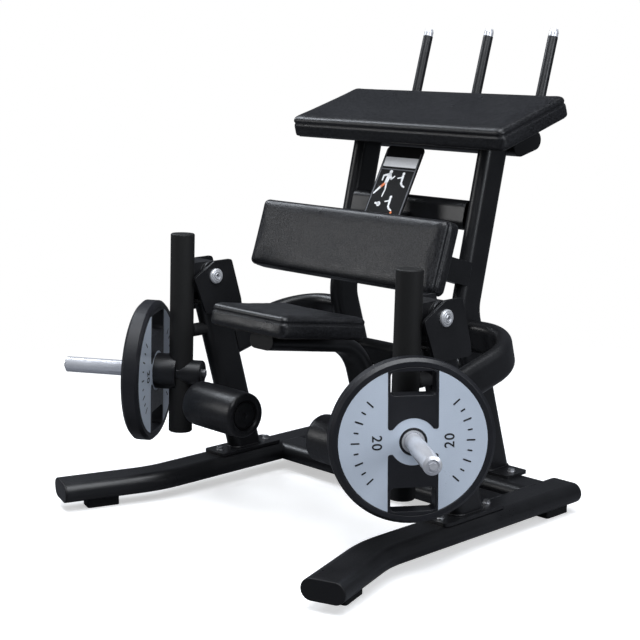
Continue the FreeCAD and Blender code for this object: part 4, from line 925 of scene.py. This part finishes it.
def weld_round(name, node):
    """A rippled weld bead round the foot of a post."""
    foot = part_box(node)[0].z
    outline = hull([(v.co.x, v.co.y) for v in frame["nodes"][node].data.vertices
                    if v.co.z < foot + FOOT_BAND])
    path = [Vector((x + nx * WELD_OUT, y + ny * WELD_OUT, foot + WELD_LEVEL))
            for x, y, nx, ny in resampled(outline, WELD_PITCH)]
    bead = tube_along(name, path, WELD_RADIUS, PAINT, sides=7, wave=0.16)
    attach(bead, "frame")


def pivot_screws(side):
    """A washer and a socket screw in the middle of each disc of a lever's pivot."""
    joint = next(j for j in frame["joints"] if j["name"] == "lever_%s_swing" % side)
    middle = Vector(joint["pos_m"])
    low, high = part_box("pivot_end_discs")
    reach = (high.x if middle.x > 0 else -low.x) - abs(middle.x)
    rings = []
    for sign in (-1, 1):
        face = frame_of(middle + RIGHT * sign * reach, Vector((0, sign, 0)), UP)
        rings.append(lathe("washer_ring", in_metres(WASHER_PROFILE), face, STEEL, 40))
        rings.append(lathe("screw_rim", in_metres(SCREW_PROFILE), face, STEEL, 32))
    piece = joined("pivot_screws_" + side, rings, STEEL)
    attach(piece, "frame")


for side_name in SIDES:
    roller(side_name)
    plate_faces(side_name)
    weld_round("front_post_weld_" + side_name, "front_post_" + side_name)
    weld_round("rear_post_weld_" + side_name, "rear_post_" + side_name)
chart()
for side_name in SIDES:
    pivot_screws(side_name)


# ---------------------------------------------------------------- stage, lights and camera

FLOOR_HALF = 4.0
FLOOR_LEVEL = -0.5 * MM
FLOOR_GLOW = 0.5
FADE_START = 1.15
FADE_END = 2.7
AMBIENT = 0.12


def floor_material():
    """A pale floor that fades into the white backdrop away from the machine."""
    n = Nodes("studio_floor")
    seen = n.add("ShaderNodeLightPath").outputs["Is Camera Ray"]
    cloud = n.noise(0.8, 2)
    pale = n.mix(n.spread(cloud, 0.3, 0.7), (0.90, 0.90, 0.90), (0.93, 0.93, 0.93))
    # the machine's sides reflect a darker studio floor than the one in view
    n.link(n.mix(seen, (0.16, 0.165, 0.18), pale), n.shader.inputs["Base Color"])
    n.shader.inputs["Roughness"].default_value = 0.75
    n.shader.inputs["Specular IOR Level"].default_value = 0.2
    n.shader.inputs["Emission Color"].default_value = (1, 1, 1, 1)
    n.link(n.math("MULTIPLY", seen, FLOOR_GLOW), n.shader.inputs["Emission Strength"])
    reach = n.add("ShaderNodeVectorMath", operation="LENGTH")
    n.link(n.place, reach.inputs[0])
    fade = n.spread(reach.outputs["Value"], FADE_START, FADE_END, 1.0, 0.0)
    n.link(fade, n.shader.inputs["Alpha"])
    return n.material


def studio_world():
    """A white backdrop that lights the machine only faintly."""
    world = bpy.data.worlds.new("studio")
    bpy.context.scene.world = world
    world.use_nodes = True
    tree = world.node_tree
    backdrop = tree.nodes["Background"]
    backdrop.inputs["Color"].default_value = (1, 1, 1, 1)
    backdrop.inputs["Strength"].default_value = 1.0
    ambient = tree.nodes.new("ShaderNodeBackground")
    ambient.inputs["Color"].default_value = (0.82, 0.88, 1.0, 1)
    ambient.inputs["Strength"].default_value = AMBIENT
    ray = tree.nodes.new("ShaderNodeLightPath")
    choose = tree.nodes.new("ShaderNodeMixShader")
    tree.links.new(ray.outputs["Is Camera Ray"], choose.inputs["Fac"])
    tree.links.new(ambient.outputs["Background"], choose.inputs[1])
    tree.links.new(backdrop.outputs["Background"], choose.inputs[2])
    tree.links.new(choose.outputs["Shader"], tree.nodes["World Output"].inputs["Surface"])


def area_light(name, place, target_level, size, power, colour):
    """A rectangular lamp that points at the machine's middle at a level."""
    data = bpy.data.lights.new(name, "AREA")
    data.shape = "RECTANGLE"
    data.size, data.size_y = size
    data.energy = power
    data.color = colour
    lamp = bpy.data.objects.new(name, data)
    bpy.context.scene.collection.objects.link(lamp)
    lamp.location = place
    lamp.rotation_mode = "QUATERNION"
    target = Vector((0, 0, target_level))
    lamp.rotation_quaternion = (target - Vector(place)).to_track_quat("-Z", "Y")


corners = ((-1, -1), (1, -1), (1, 1), (-1, 1))
floor = mesh_object("studio_floor", [(x * FLOOR_HALF, y * FLOOR_HALF, FLOOR_LEVEL) for x, y in corners],
                    [(0, 1, 2, 3)], floor_material(), smooth=False)
studio_world()
area_light("overhead", (1.2, -0.9, 4.2), 0.6, (4.0, 4.0), 260, (0.93, 0.96, 1.0))
area_light("front", (-3.5, -4.0, 2.0), 0.6, (2.0, 1.6), 42, (1.0, 1.0, 1.0))
area_light("rim", (-3.2, -0.5, 3.7), 0.8, (1.2, 2.4), 95, (0.88, 0.93, 1.0))
area_light("right", (4.6, 0.6, 2.2), 0.7, (1.2, 2.2), 60, (0.9, 0.94, 1.0))

# the camera stands a fixed way in front of the lever pivots, to the machine's right
camera_data = bpy.data.cameras.new("camera")
camera_data.sensor_width = 36
camera_data.lens = 83.585
camera = bpy.data.objects.new("camera", camera_data)
bpy.context.scene.collection.objects.link(camera)
pivot_y = next(j for j in frame["joints"] if j["name"] == "lever_left_swing")["pos_m"][1]
stand = Vector((3.1724, pivot_y - 2.9793, 1.4616))
forward = Vector((-0.71046, 0.67728, -0.19113))
sideways = Vector((0.69000, 0.72380, 0.0))
camera.matrix_world = frame_of(stand, sideways, sideways.cross(forward))
bpy.context.scene.camera = camera
bpy.context.scene.view_settings.view_transform = "Standard"
